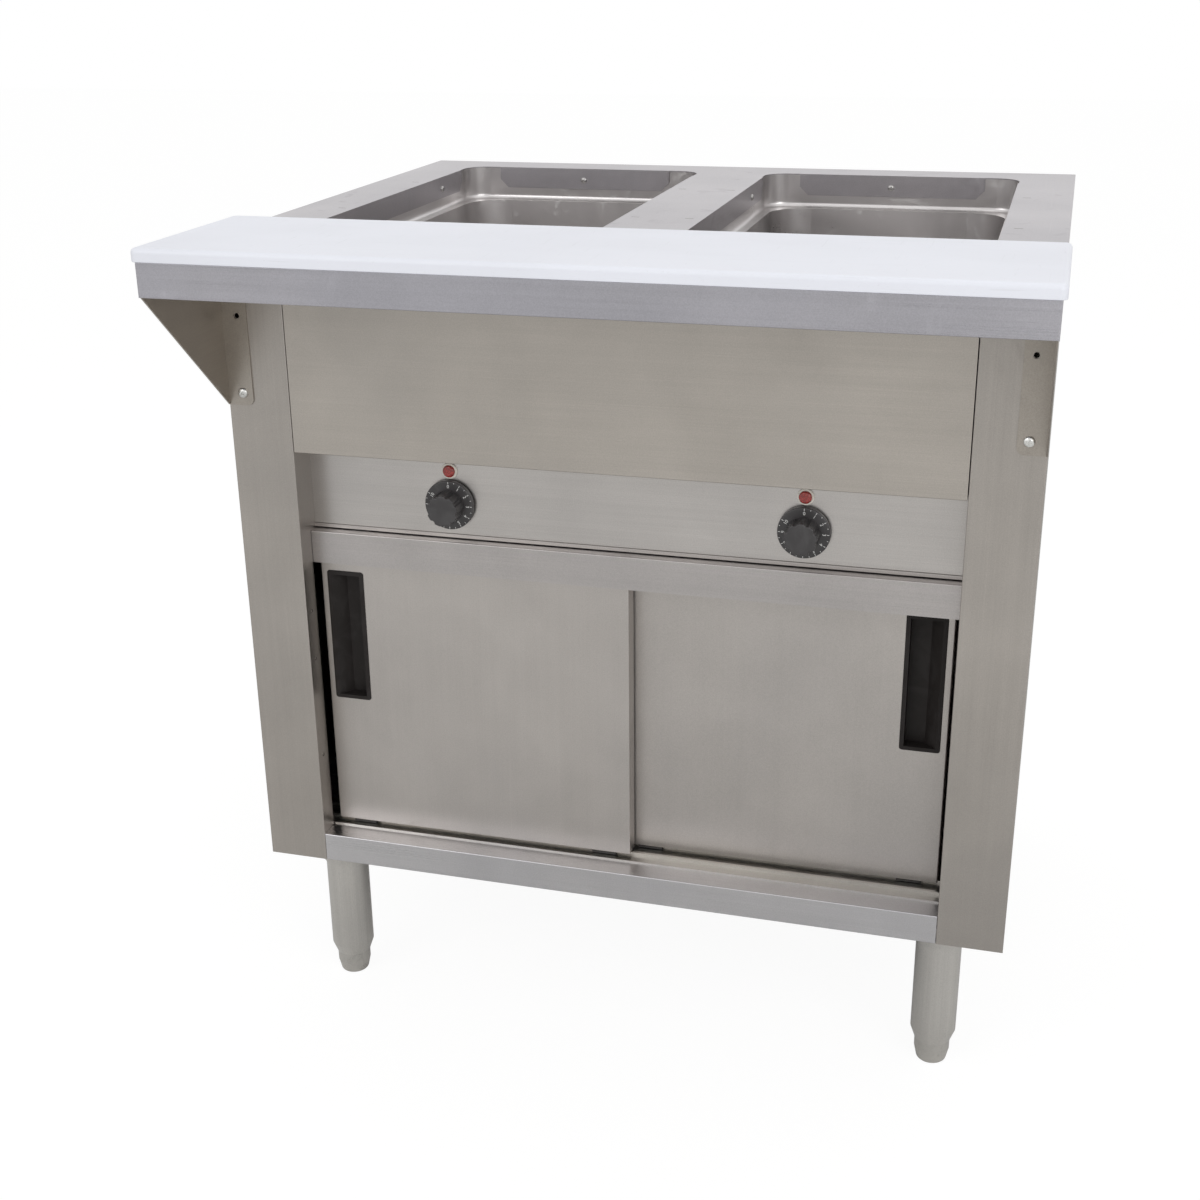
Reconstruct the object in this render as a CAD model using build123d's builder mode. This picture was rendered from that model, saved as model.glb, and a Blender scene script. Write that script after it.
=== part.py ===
"""Two-well electric steam table with an enclosed base, sliding doors and a front cutting board.

Millimetres, +Z up. The front faces -Y. The origin is on the floor, under the middle of the outer box.
"""

import os

from build123d import *

os.makedirs("parts", exist_ok=True)

# Overall sizes
table_width = 808.0
overall_depth = 778.0
board_reach = 149.0
top_height = 863.6
body_bottom = 175.0
front = board_reach - overall_depth / 2
back = overall_depth / 2

# Sheet metal
sheet = 1.2
thin_sheet = 1.0
hem_drop = 25.0
fit_gap = 0.3
bend_round = 1.0
fold_return = 16.0

# Side casings
post_width = 68.0
post_return = 24.0
rear_return = 22.0
face_y = front + sheet
side_outer = table_width / 2 - sheet
side_inner = side_outer - sheet
jamb = table_width / 2 - post_width
casing_back = back - sheet - fit_gap
casing_top = top_height - sheet

# Front of the body, hung from the top
apron_height = 214.4
apron_gap = 0.8
panel_setback = 38.0
panel_height = 87.0
panel_foot_gap = 5.0
panel_side_reach = 40.0
header_height = 35.0
header_setback = 26.0
header_depth = 56.0
sill_top = 207.0
panel_face = front + panel_setback
apron_bottom = casing_top - apron_height
panel_bottom = apron_bottom - panel_height
header_top = panel_bottom - panel_foot_gap
header_bottom = header_top - header_height

# Cutting board and the shelf that carries it
board_length = 815.0
board_depth = 203.0
board_thickness = 12.7
board_edge_round = 4.5
board_corner_round = 6.0
shelf_front_gap = 3.0
shelf_drop = 32.6
shelf_hem = 12.0
dowel_radius = 4.0
dowel_clearance = 0.5
dowel_reach = 6.0
dowel_inset = 60.0
dowel_setback = 80.0
board_front = -overall_depth / 2
board_back = board_front + board_depth

# Wells and their openings in the top
opening_width = 300.0
opening_radius = 26.0
centre_bar = 84.0
front_rail = 56.0
rear_rail = 53.0
tab_drop = 25.0
tab_inset = 14.0
tab_chamfer = 10.0
tab_screw_drop = 13.0
tab_screw_inset = 110.0
well_wall = 1.0
well_rim = 11.0
well_gap = 0.8
well_shoulder = 38.0
well_ledge = 12.0
basin_depth = 138.0
basin_radius = 45.0
basin_floor_radius = 24.0
basin_taper = 2.0
ledge_round = 5.0
well_x = (centre_bar + opening_width) / 2
opening_length = back - rear_rail - front - front_rail
well_y = back - rear_rail - opening_length / 2
ledge_height = casing_top - well_shoulder
basin_floor = ledge_height - basin_depth

# Heated housings
housing_gap = 3.0
housing_drop = 31.4
element_radius = 4.0
element_clearance = 0.3
element_width = 180.0
element_inset = 90.0
element_turn = 18.0
element_tail_drop = 48.4
housing_bottom = basin_floor - housing_drop
element_length = opening_length - 2 * element_inset
element_tail_end = basin_floor - element_tail_drop
element_height = basin_floor - well_wall - element_radius - element_clearance

# Drains, their pipe and their valve
drain_radius = 14.0
drain_bore = 9.0
drain_clearance = 0.3
drain_flange_radius = 30.0
drain_flange_thickness = 2.0
pipe_radius = 11.0
pipe_bore = 9.0
tee_radius = 18.0
tee_bore = 8.4
body_margin = 3.0
valve_bore = 7.8
tee_drop = 46.4
tail_drop = 66.4
manifold_drop = 81.4
manifold_offset = 60.0
valve_radius = 19.0
valve_drop = 52.0
valve_stem_reach = 26.0
valve_stem_boss = 9.0
stem_radius = 5.0
stem_clearance = 0.05
stem_depth = 14.0
lever_length = 92.0
lever_width = 16.0
lever_thickness = 3.0
tee_top = basin_floor - tee_drop
tail_end = basin_floor - tail_drop
manifold_z = basin_floor - manifold_drop
manifold_y = well_y + manifold_offset

# Doors, handles and tracks
door_thickness = 19.0
door_gap = 4.0
door_skin = 1.0
door_rear_lip = 13.0
front_door_setback = 32.5
door_bottom = 213.0
door_tuck = 24.0
door_side_gap = 5.0
door_overlap = 14.0
door_edge_round = 1.5
door_top = header_bottom + door_tuck
rear_door_setback = front_door_setback + door_thickness + door_gap
door_width = jamb - door_side_gap + door_overlap / 2
handle_width = 41.0
handle_length = 148.0
handle_border = 4.5
handle_depth = 14.0
handle_flange = 1.2
handle_wall = 1.2
handle_side_gap = 7.0
handle_top_gap = 10.0
handle_ramp = 12.0
handle_corner = 3.0
track_sheet = 1.6
track_fin_drop = 20.0
rib_height = 3.0
rib_width = 3.0
glide_length = 26.0
glide_width = 15.0
glide_gap = 0.8
glide_slot_gap = 0.4
glide_inset = 30.0

# Controls
control_x = 182.0
knob_drop = 54.0
pilot_rise = 35.0
dial_radius = 26.0
dial_thickness = 5.0
dial_standoff = 2.0
dial_round = 1.5
grip_radius = 16.5
grip_height = 21.0
grip_round = 1.5
grip_flutes = 9
flute_radius = 3.2
flute_centre = 18.2
shaft_radius = 3.2
shaft_clearance = 0.05
shaft_length = 40.0
shaft_in_knob = 16.0
bushing_radius = 7.0
bushing_reach = 1.0
bushing_hole_gap = 0.2
thermostat_size = 46.0
thermostat_depth = 34.0
thermostat_chamfer = 4.0
pilot_bezel_radius = 8.4
pilot_bezel_thickness = 2.0
pilot_body_radius = 6.6
pilot_body_length = 22.0
pilot_lens_radius = 6.4
pilot_lens_seat = 1.2
pilot_lens_height = 4.0
pilot_lens_round = 2.4
knob_z = apron_bottom - knob_drop
pilot_z = knob_z + pilot_rise

# Brackets under the shelf, and their screws
bracket_sheet = 1.6
bracket_flange = 28.0
bracket_drop = 168.6
bracket_corner = 7.0
bracket_screw_inset = 16.0
bracket_screw_rise = 13.0
bracket_hole_rise = 91.0
bracket_hole_radius = 3.2
screw_shank_radius = 2.4
screw_hole_gap = 0.2
screw_head_radius = 5.2
screw_head_height = 3.2
screw_head_round = 1.8
screw_length = 10.0
well_screw_head_radius = 4.2
well_screw_head_height = 2.6
well_screw_round = 1.4
well_screw_length = 5.0
bracket_bottom = top_height - bracket_drop
bracket_screw_z = bracket_bottom + bracket_screw_rise
bracket_hole_z = bracket_bottom + bracket_hole_rise

# Legs and feet
leg_side_inset = 64.6
leg_x = side_inner - leg_side_inset
leg_inset = 55.0
leg_radius = 23.8
leg_wall = 1.6
leg_bottom = 27.0
leg_neck_radius = 19.5
leg_neck_height = 12.0
leg_plug_height = 22.0
socket_radius = 28.5
socket_lip_radius = 26.0
socket_height = 26.0
socket_roof = 4.0
socket_clearance = 0.1
foot_radius = 18.6
foot_tip_radius = 15.5
foot_round = 3.0
foot_straight = 14.0
foot_stem_radius = 6.0
foot_stem_length = 62.0
foot_clearance = 0.1
channel_width = 84.0
channel_gap = 1.8
channel_end_gap = 8.0

# Supply box inside the back
supply_width = 110.0
supply_height = 70.0
supply_depth = 48.0
supply_x = 240.0
supply_z = 470.0
supply_round = 3.0
gland_radius = 14.0
gland_bore = 8.0
gland_length = 20.0
gland_sides = 6
cord_hole_radius = 16.0

sides = ((-1, "left"), (1, "right"))


def level(height):
    """Horizontal sketch plane at one height, facing up."""
    return Plane.XY.offset(height)


def facing_front(depth):
    """Upright sketch plane at one depth. It faces the front."""
    return Plane.XZ.offset(-depth)


def across(station):
    """Upright sketch plane across the width at one station. It faces the right."""
    return Plane.YZ.offset(station)


def patch(start_x, start_y, end_x, end_y, mode=Mode.ADD):
    """Rectangle between two opposite corners, in the open sketch."""
    corners = ((start_x, start_y), (end_x, start_y), (end_x, end_y), (start_x, end_y))
    return Polygon(*corners, align=None, mode=mode)


def tab_outline(width):
    """Corner points of a tab that hangs from y = 0, with its two lower corners cut off."""
    half = width / 2
    return (
        (-half, 0),
        (half, 0),
        (half, tab_chamfer - tab_drop),
        (half - tab_chamfer, -tab_drop),
        (tab_chamfer - half, -tab_drop),
        (-half, tab_chamfer - tab_drop),
    )


def save(piece, name):
    """Labels one finished piece and writes its STEP file."""
    piece.label = name
    export_step(piece, f"parts/{name}.step")


def well_screw_seats(centre_x, centre_y):
    """Seats of the screws of one well. Each has its own Z axis pointing into the well."""
    half_width = opening_width / 2 - sheet
    half_length = opening_length / 2 - sheet
    half_spread = opening_length / 2 - tab_screw_inset
    places = (
        (-half_width, -half_spread, 90),
        (-half_width, half_spread, 90),
        (half_width, -half_spread, -90),
        (half_width, half_spread, -90),
        (0, half_length, 0),
        (0, -half_length, 180),
    )
    seat_z = casing_top - tab_screw_drop
    upright = Location((0, 0, 0), (90, 0, 0))
    return [Location((centre_x + x, centre_y + y, seat_z), (0, 0, turn)) * upright for x, y, turn in places]


# Table top: one sheet with a turned-down hem and four tabs bent down into each opening
with BuildPart() as table_top:
    with BuildSketch(level(casing_top)):
        patch(-table_width / 2, front, table_width / 2, back)
        with Locations((-well_x, well_y), (well_x, well_y)):
            RectangleRounded(opening_width, opening_length, opening_radius, mode=Mode.SUBTRACT)
    extrude(amount=sheet)
    with BuildSketch(level(top_height - hem_drop)):
        patch(-table_width / 2, front, table_width / 2, back)
        patch(-side_outer, face_y, side_outer, back - sheet, mode=Mode.SUBTRACT)
    extrude(amount=hem_drop)
    tab_width = opening_width - 2 * (opening_radius + tab_inset)
    tab_length = opening_length - 2 * (opening_radius + tab_inset)
    for hand, side in sides:
        for end in (-1, 1):
            end_y = well_y + end * (opening_length - sheet) / 2
            with BuildSketch(Plane((hand * well_x, end_y, top_height), (1, 0, 0), (0, -1, 0))):
                Polygon(*tab_outline(tab_width), align=None)
            extrude(amount=sheet / 2, both=True)
            edge_x = hand * well_x + end * (opening_width - sheet) / 2
            with BuildSketch(Plane((edge_x, well_y, top_height), (0, 1, 0), (1, 0, 0))):
                Polygon(*tab_outline(tab_length), align=None)
            extrude(amount=sheet / 2, both=True)
        for seat in well_screw_seats(hand * well_x, well_y):
            with Locations(seat):
                Hole(screw_shank_radius + screw_hole_gap, 2 * sheet)
    rim = table_top.faces().sort_by(Axis.Z)[-1].outer_wire().edges()
    fillet(rim, radius=bend_round)
save(table_top.part, "table_top")

# Side casings: a side wall with a front post, a door jamb and a rear return
for hand, side in sides:
    outer = hand * side_outer
    inner = hand * side_inner
    with BuildPart() as side_casing:
        with BuildSketch(level(body_bottom)):
            patch(outer, face_y, inner, casing_back)
            patch(outer, face_y, hand * jamb, face_y + sheet)
            patch(hand * jamb, face_y, hand * (jamb + sheet), face_y + post_return)
            patch(outer, casing_back - sheet, outer - hand * rear_return, casing_back)
        extrude(amount=casing_top - body_bottom)
        uprights = side_casing.edges().filter_by(Axis.Z)
        fold_lines = uprights.group_by(Axis.Y)[0] + uprights.group_by(Axis.Y)[-1].sort_by(Axis.X)[:: hand][-1:]
        fillet(fold_lines, radius=bend_round)
        screw_x = hand * (side_inner - bracket_screw_inset)
        for hole_z in (bracket_screw_z, bracket_hole_z):
            with Locations(Location((screw_x, face_y, hole_z), (90, 0, 0))):
                Hole(screw_shank_radius + screw_hole_gap, 2 * sheet)
    save(side_casing.part, f"{side}_side_casing")

# Back panel, inside the rear returns, folded forward along its top and bottom edges
panel_back = casing_back - sheet
with BuildPart() as back_panel:
    with BuildSketch(across(0)):
        patch(panel_back - thin_sheet, body_bottom, panel_back, casing_top)
        patch(panel_back - fold_return, body_bottom, panel_back, body_bottom + thin_sheet)
        patch(panel_back - fold_return, casing_top - thin_sheet, panel_back, casing_top)
    extrude(amount=side_inner - fit_gap, both=True)
save(back_panel.part, "back_panel")

# Front apron: a face between the posts, a deep return below it and folded ends
apron_half = jamb - apron_gap
apron_back = panel_face + fold_return
with BuildPart() as front_apron:
    with BuildSketch(across(0)):
        patch(face_y, apron_bottom, face_y + sheet, casing_top)
        patch(face_y, apron_bottom, apron_back, apron_bottom + sheet)
        patch(face_y, casing_top - sheet, face_y + fold_return, casing_top)
    extrude(amount=apron_half, both=True)
    for hand, side in sides:
        with BuildSketch(across(hand * (apron_half - sheet / 2))):
            patch(face_y, apron_bottom, face_y + fold_return, casing_top)
        extrude(amount=sheet / 2, both=True)
    face_edges = front_apron.faces().sort_by(Axis.Y)[0].edges().group_by(Axis.Z)[0]
    fillet(face_edges, radius=bend_round)
save(front_apron.part, "front_apron")

# Control panel: set back under the apron, with holes for the bushings and the pilot lamps
with BuildPart() as control_panel:
    with BuildSketch(across(0)):
        patch(panel_face, panel_bottom, panel_face + sheet, apron_bottom)
        patch(panel_face, apron_bottom - sheet, apron_back, apron_bottom)
        patch(panel_face, panel_bottom, apron_back, panel_bottom + sheet)
    extrude(amount=jamb + panel_side_reach, both=True)
    panel_edges = control_panel.faces().sort_by(Axis.Y)[0].edges().group_by(Axis.Z)[0]
    fillet(panel_edges, radius=bend_round)
    for hand, side in sides:
        with Locations(Location((hand * control_x, panel_face, knob_z), (90, 0, 0))):
            Hole(bushing_radius + bushing_hole_gap, 2 * sheet)
        with Locations(Location((hand * control_x, panel_face, pilot_z), (90, 0, 0))):
            Hole(pilot_body_radius + bushing_hole_gap, 2 * sheet)
save(control_panel.part, "control_panel")

# Door header: a channel, open below, that hides the tops of the doors
header_face = front + header_setback
header_rear = header_face + header_depth
with BuildPart() as door_header:
    with BuildSketch(across(0)):
        patch(header_face, header_bottom, header_rear, header_top)
        patch(header_face + sheet, header_bottom, header_rear - sheet, header_top - sheet, mode=Mode.SUBTRACT)
    extrude(amount=side_inner, both=True)
    fillet(door_header.faces().sort_by(Axis.Y)[0].edges().group_by(Axis.Z)[-1], radius=bend_round)
save(door_header.part, "door_header")

# Depths of the two doors, front faces
door_faces = {"left": front + front_door_setback, "right": front + rear_door_setback}
between_doors = front + rear_door_setback - door_gap / 2

# Upper door track: a strip under the header with three hanging fins
track_top = header_top - sheet
with BuildPart() as upper_door_track:
    with BuildSketch(across(0)):
        patch(header_face + sheet, track_top - track_sheet, header_rear - sheet, track_top)
        for fin_y in (header_face + sheet, between_doors - track_sheet / 2, header_rear - sheet - track_sheet):
            patch(fin_y, track_top - track_fin_drop, fin_y + track_sheet, track_top)
    extrude(amount=side_inner - fit_gap, both=True)
save(upper_door_track.part, "upper_door_track")

# Base shelf: a plate with a front rail between the posts and folded sides
channel_bottom = body_bottom + channel_gap
shelf_back = panel_back - thin_sheet
shelf_under = sill_top - sheet
wide_front = face_y + post_return + fit_gap
supply_y = shelf_back - supply_depth / 2
with BuildPart() as base_shelf:
    with BuildSketch(level(shelf_under)):
        patch(fit_gap - jamb, face_y, jamb - fit_gap, shelf_back)
        patch(-side_inner, wide_front, side_inner, shelf_back)
        with Locations((supply_x, supply_y)):
            Circle(cord_hole_radius, mode=Mode.SUBTRACT)
    extrude(amount=sheet)
    with BuildSketch(across(0)):
        patch(face_y, body_bottom, face_y + sheet, sill_top)
        patch(face_y, body_bottom, face_y + fold_return, body_bottom + sheet)
    extrude(amount=jamb - fit_gap, both=True)
    for hand, side in sides:
        with BuildSketch(across(hand * (side_inner - sheet / 2))):
            patch(wide_front, channel_bottom, shelf_back, sill_top)
        extrude(amount=sheet / 2, both=True)
    rail_edges = base_shelf.faces().sort_by(Axis.Y)[0].edges().filter_by(Axis.X)
    fillet(rail_edges, radius=bend_round)
save(base_shelf.part, "base_shelf")

# Lower door track: a strip on the shelf with one raised rib under each door
track_floor = sill_top + track_sheet
rib_top = track_floor + rib_height
with BuildPart() as lower_door_track:
    with BuildSketch(across(0)):
        patch(header_face + sheet, sill_top, header_rear - sheet, track_floor)
        for door_face in door_faces.values():
            rib_y = door_face + (door_thickness - rib_width) / 2
            patch(rib_y, sill_top, rib_y + rib_width, rib_top)
    extrude(amount=side_inner - 2 * fit_gap, both=True)
save(lower_door_track.part, "lower_door_track")

# Leg channels: open upward, from front to back under the shelf
channel_front = wide_front + channel_end_gap
channel_back = shelf_back - channel_end_gap - fold_return
for hand, side in sides:
    with BuildPart() as leg_channel:
        with BuildSketch(facing_front(channel_front)):
            half = channel_width / 2
            middle = hand * leg_x
            patch(middle - half, channel_bottom, middle + half, shelf_under)
            patch(
                middle - half + sheet,
                channel_bottom + sheet,
                middle + half - sheet,
                shelf_under,
                mode=Mode.SUBTRACT,
            )
        extrude(amount=channel_front - channel_back)
    save(leg_channel.part, f"{side}_leg_channel")


def well_form(growth):
    """Solid form of one well about x = 0, y = 0, grown outward by the given sheet thickness."""
    step_z = ledge_height - growth
    upper_width = opening_width + 2 * (well_gap + growth)
    upper_length = opening_length + 2 * (well_gap + growth)
    lower_width = opening_width - 2 * (well_ledge - growth)
    lower_length = opening_length - 2 * (well_ledge - growth)
    with BuildPart() as form:
        with BuildSketch(level(step_z)):
            RectangleRounded(upper_width, upper_length, opening_radius + well_gap + growth)
        extrude(amount=casing_top - step_z)
        fillet(form.faces().sort_by(Axis.Z)[0].edges(), radius=ledge_round + growth)
        with BuildSketch(level(step_z)):
            RectangleRounded(lower_width, lower_length, basin_radius + growth)
        extrude(amount=-basin_depth, taper=basin_taper)
        fillet(form.faces().sort_by(Axis.Z)[0].edges(), radius=basin_floor_radius + growth)
    return form.part


# Well pans: drawn from one sheet, with a hanging rim, a shoulder and a rounded basin
outer_form = well_form(well_wall)
inner_form = well_form(0)
rim_reach = 2 * (well_gap + well_wall + well_rim)
rim_radius = opening_radius + rim_reach / 2
with BuildPart() as well_pan:
    add(outer_form)
    with BuildSketch(level(casing_top)):
        RectangleRounded(opening_width + rim_reach, opening_length + rim_reach, rim_radius)
    extrude(amount=-well_wall)
    add(inner_form, mode=Mode.SUBTRACT)
    with Locations((0, manifold_y - well_y, basin_floor)):
        Hole(drain_radius + drain_clearance, basin_depth / 2)
    for seat in well_screw_seats(0, 0):
        with Locations(seat):
            Hole(screw_shank_radius + screw_hole_gap, well_screw_length)
for hand, side in sides:
    save(well_pan.part.moved(Location((hand * well_x, well_y, 0))), f"{side}_well_pan")

# Well housings: an open box round each well, hung under the rim of the pan
housing_width = opening_width + 2 * (well_gap + well_wall + housing_gap + thin_sheet)
housing_length = opening_length + 2 * (well_gap + well_wall + housing_gap + thin_sheet)
housing_radius = opening_radius + well_gap + well_wall + housing_gap + thin_sheet
element_start = well_y - element_length / 2
for hand, side in sides:
    with BuildPart() as well_housing:
        with BuildSketch(level(housing_bottom)):
            with Locations((hand * well_x, well_y)):
                RectangleRounded(housing_width, housing_length, housing_radius)
        extrude(amount=casing_top - well_wall - housing_bottom)
        with BuildSketch(level(housing_bottom + thin_sheet)):
            with Locations((hand * well_x, well_y)):
                RectangleRounded(
                    housing_width - 2 * thin_sheet,
                    housing_length - 2 * thin_sheet,
                    housing_radius - thin_sheet,
                )
        extrude(amount=casing_top, mode=Mode.SUBTRACT)
        with Locations((hand * well_x, manifold_y, housing_bottom)):
            Hole(drain_radius + drain_clearance, 4 * sheet)
        for tail_side in (-1, 1):
            with Locations((hand * well_x + tail_side * element_width / 2, element_start, housing_bottom)):
                Hole(element_radius + element_clearance, 4 * sheet)
    save(well_housing.part, f"{side}_well_housing")

# Heating elements: one bent tube under each basin, with both tails down through the housing
for hand, side in sides:
    half = element_width / 2
    middle = hand * well_x
    element_end = element_start + element_length
    with BuildPart() as heating_element:
        with BuildLine():
            FilletPolyline(
                (middle - half, element_start, element_tail_end),
                (middle - half, element_start, element_height),
                (middle - half, element_end, element_height),
                (middle + half, element_end, element_height),
                (middle + half, element_start, element_height),
                (middle + half, element_start, element_tail_end),
                radius=element_turn,
            )
        with BuildSketch(level(element_tail_end)):
            with Locations((middle - half, element_start)):
                Circle(element_radius)
        sweep()
    save(heating_element.part, f"{side}_heating_element")

# Well screws: domed heads against the tabs, six in each well
for hand, side in sides:
    with BuildPart() as well_screws:
        for seat in well_screw_seats(hand * well_x, well_y):
            with BuildSketch(Plane(seat)):
                Circle(well_screw_head_radius)
            extrude(amount=well_screw_head_height)
            with BuildSketch(Plane(seat)):
                Circle(screw_shank_radius)
            extrude(amount=-well_screw_length)
        crowns = well_screws.edges().filter_by(GeomType.CIRCLE)
        crowns = crowns.filter_by(lambda edge: abs(edge.radius - well_screw_head_radius) < fit_gap)
        inner_crowns = crowns.filter_by(
            lambda edge: abs(edge.center().X - hand * well_x) < opening_width / 2 - 2 * sheet
            and abs(edge.center().Y - well_y) < opening_length / 2 - 2 * sheet
        )
        fillet(inner_crowns, radius=well_screw_round)
    save(well_screws.part, f"{side}_well_screws")

# Drain fittings: a flange in the basin floor and a tail through the housing
for hand, side in sides:
    with BuildPart() as drain_fitting:
        with BuildSketch(level(basin_floor)):
            with Locations((hand * well_x, manifold_y)):
                Circle(drain_flange_radius)
        extrude(amount=drain_flange_thickness)
        fillet(drain_fitting.faces().sort_by(Axis.Z)[-1].edges(), radius=bend_round)
        with BuildSketch(level(tail_end)):
            with Locations((hand * well_x, manifold_y)):
                Circle(drain_radius)
        extrude(amount=basin_floor - tail_end)
        with Locations((hand * well_x, manifold_y, basin_floor)):
            Hole(drain_bore, 2 * basin_depth)
    save(drain_fitting.part, f"{side}_drain_fitting")

# Drain pipe: a cross pipe with a tee under each drain and a hanging valve body in the middle
valve_face = manifold_y - valve_stem_reach
with BuildPart() as drain_pipe:
    with BuildSketch(across(0)):
        with Locations((manifold_y, manifold_z)):
            Circle(pipe_radius)
    extrude(amount=well_x, both=True)
    with BuildSketch(level(manifold_z - pipe_radius - body_margin)):
        with Locations((-well_x, manifold_y), (well_x, manifold_y)):
            Circle(tee_radius)
    extrude(amount=tee_top - manifold_z + pipe_radius + body_margin)
    with BuildSketch(level(manifold_z - valve_drop)):
        with Locations((0, manifold_y)):
            Circle(valve_radius)
    extrude(amount=valve_drop + pipe_radius + body_margin)
    with BuildSketch(facing_front(valve_face)):
        with Locations((0, manifold_z - valve_drop / 2)):
            Circle(valve_stem_boss)
    extrude(amount=-valve_stem_reach)
    with BuildSketch(across(0)):
        with Locations((manifold_y, manifold_z)):
            Circle(pipe_bore)
    extrude(amount=well_x, both=True, mode=Mode.SUBTRACT)
    with BuildSketch(level(tail_end)):
        with Locations((-well_x, manifold_y), (well_x, manifold_y)):
            Circle(drain_radius + socket_clearance)
    extrude(amount=tee_top - tail_end, mode=Mode.SUBTRACT)
    with BuildSketch(level(manifold_z)):
        with Locations((-well_x, manifold_y), (well_x, manifold_y)):
            Circle(tee_bore)
    extrude(amount=tail_end - manifold_z, mode=Mode.SUBTRACT)
    with BuildSketch(level(manifold_z - valve_drop)):
        with Locations((0, manifold_y)):
            Circle(valve_bore)
    extrude(amount=valve_drop / 2 - stem_radius - 2 * sheet, mode=Mode.SUBTRACT)
    with BuildSketch(facing_front(valve_face)):
        with Locations((0, manifold_z - valve_drop / 2)):
            Circle(stem_radius + stem_clearance)
    extrude(amount=-stem_depth, mode=Mode.SUBTRACT)
save(drain_pipe.part, "drain_pipe")

# Drain lever: a flat handle on a round stem
with BuildPart() as drain_lever:
    with BuildSketch(facing_front(valve_face - fit_gap)):
        with Locations((lever_length / 2 - lever_width / 2, manifold_z - valve_drop / 2)):
            SlotOverall(lever_length, lever_width)
    extrude(amount=lever_thickness)
    with BuildSketch(facing_front(valve_face - fit_gap)):
        with Locations((0, manifold_z - valve_drop / 2)):
            Circle(stem_radius)
    extrude(amount=-(stem_depth - fit_gap))
save(drain_lever.part, "drain_lever")

# Board shelf: a channel in front of the body, level with the top
shelf_front = board_front + shelf_front_gap
shelf_rear = front - fit_gap
shelf_bottom = top_height - shelf_drop
bracket_outer = table_width / 2 - sheet
bracket_inner = bracket_outer - bracket_sheet
with BuildPart() as board_shelf:
    with BuildSketch(across(0)):
        patch(shelf_front, casing_top, shelf_rear, top_height)
        patch(shelf_front, shelf_bottom, shelf_front + sheet, top_height)
    extrude(amount=table_width / 2, both=True)
    with BuildSketch(across(0)):
        patch(shelf_front, shelf_bottom, shelf_front + shelf_hem, shelf_bottom + sheet)
    extrude(amount=bracket_inner - fit_gap, both=True)
    for hand, side in sides:
        with BuildSketch(across(hand * (table_width - sheet) / 2)):
            patch(shelf_front, shelf_bottom, shelf_rear, top_height)
        extrude(amount=sheet / 2, both=True)
    front_edges = board_shelf.faces().sort_by(Axis.Y)[0].edges()
    fillet(front_edges, radius=bend_round)
    dowel_y = board_front + dowel_setback
    dowel_x = board_length / 2 - dowel_inset
    with Locations((-dowel_x, dowel_y, top_height), (dowel_x, dowel_y, top_height)):
        Hole(dowel_radius + dowel_clearance, 2 * sheet)
save(board_shelf.part, "board_shelf")

# Shelf brackets: a gusset plate folded to a flange on the post
flange_top = top_height - hem_drop - fit_gap
flange_front = face_y - bracket_sheet
for hand, side in sides:
    flange_inner = hand * (bracket_outer - bracket_flange)
    with BuildPart() as shelf_bracket:
        with BuildSketch(facing_front(face_y)):
            patch(flange_inner, bracket_bottom, hand * bracket_outer, flange_top)
            lower_corners = vertices().group_by(Axis.Y)[0].sort_by(Axis.X)
            fillet(lower_corners[-1 if hand < 0 else 0], radius=bracket_corner)
            with Locations((hand * (side_inner - bracket_screw_inset), bracket_screw_z)):
                Circle(screw_shank_radius + screw_hole_gap, mode=Mode.SUBTRACT)
            with Locations((hand * (side_inner - bracket_screw_inset), bracket_hole_z)):
                Circle(bracket_hole_radius, mode=Mode.SUBTRACT)
        extrude(amount=bracket_sheet)
        with BuildSketch(across(hand * (bracket_outer - bracket_sheet / 2))):
            Polygon(
                (face_y, bracket_bottom),
                (face_y, flange_top),
                (shelf_rear, flange_top),
                (shelf_rear, casing_top),
                (shelf_front + sheet, casing_top),
                (shelf_front + sheet, shelf_bottom),
                (flange_front, bracket_bottom),
                align=None,
            )
        extrude(amount=bracket_sheet / 2, both=True)
    save(shelf_bracket.part, f"{side}_shelf_bracket")

# Bracket screws: one low in each flange
with BuildPart() as bracket_screws:
    for hand, side in sides:
        with BuildSketch(facing_front(flange_front)):
            with Locations((hand * (side_inner - bracket_screw_inset), bracket_screw_z)):
                Circle(screw_head_radius)
        extrude(amount=screw_head_height)
        with BuildSketch(facing_front(flange_front)):
            with Locations((hand * (side_inner - bracket_screw_inset), bracket_screw_z)):
                Circle(screw_shank_radius)
        extrude(amount=-screw_length)
    fillet(bracket_screws.faces().group_by(Axis.Y)[0].edges(), radius=screw_head_round)
save(bracket_screws.part, "bracket_screws")

# Cutting board, with rounded edges and two blind holes for its dowels
with BuildPart() as cutting_board:
    with BuildSketch(level(top_height)):
        with Locations((0, (board_front + board_back) / 2)):
            RectangleRounded(board_length, board_depth, board_corner_round)
    extrude(amount=board_thickness)
    fillet(cutting_board.faces().sort_by(Axis.Z)[-1].edges(), radius=board_edge_round)
    fillet(cutting_board.faces().sort_by(Axis.Z)[0].edges(), radius=bend_round)
    with BuildSketch(level(top_height)):
        with Locations((-dowel_x, dowel_y), (dowel_x, dowel_y)):
            Circle(dowel_radius)
    extrude(amount=dowel_reach, mode=Mode.SUBTRACT)
save(cutting_board.part, "cutting_board")

# Board dowels: pressed into the board, loose in the holes of the shelf
with BuildPart() as board_dowels:
    with BuildSketch(level(top_height - dowel_reach)):
        with Locations((-dowel_x, dowel_y), (dowel_x, dowel_y)):
            Circle(dowel_radius)
    extrude(amount=2 * dowel_reach)
    chamfer(board_dowels.faces().group_by(Axis.Z)[0].edges(), length=bend_round)
save(board_dowels.part, "board_dowels")

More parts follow.
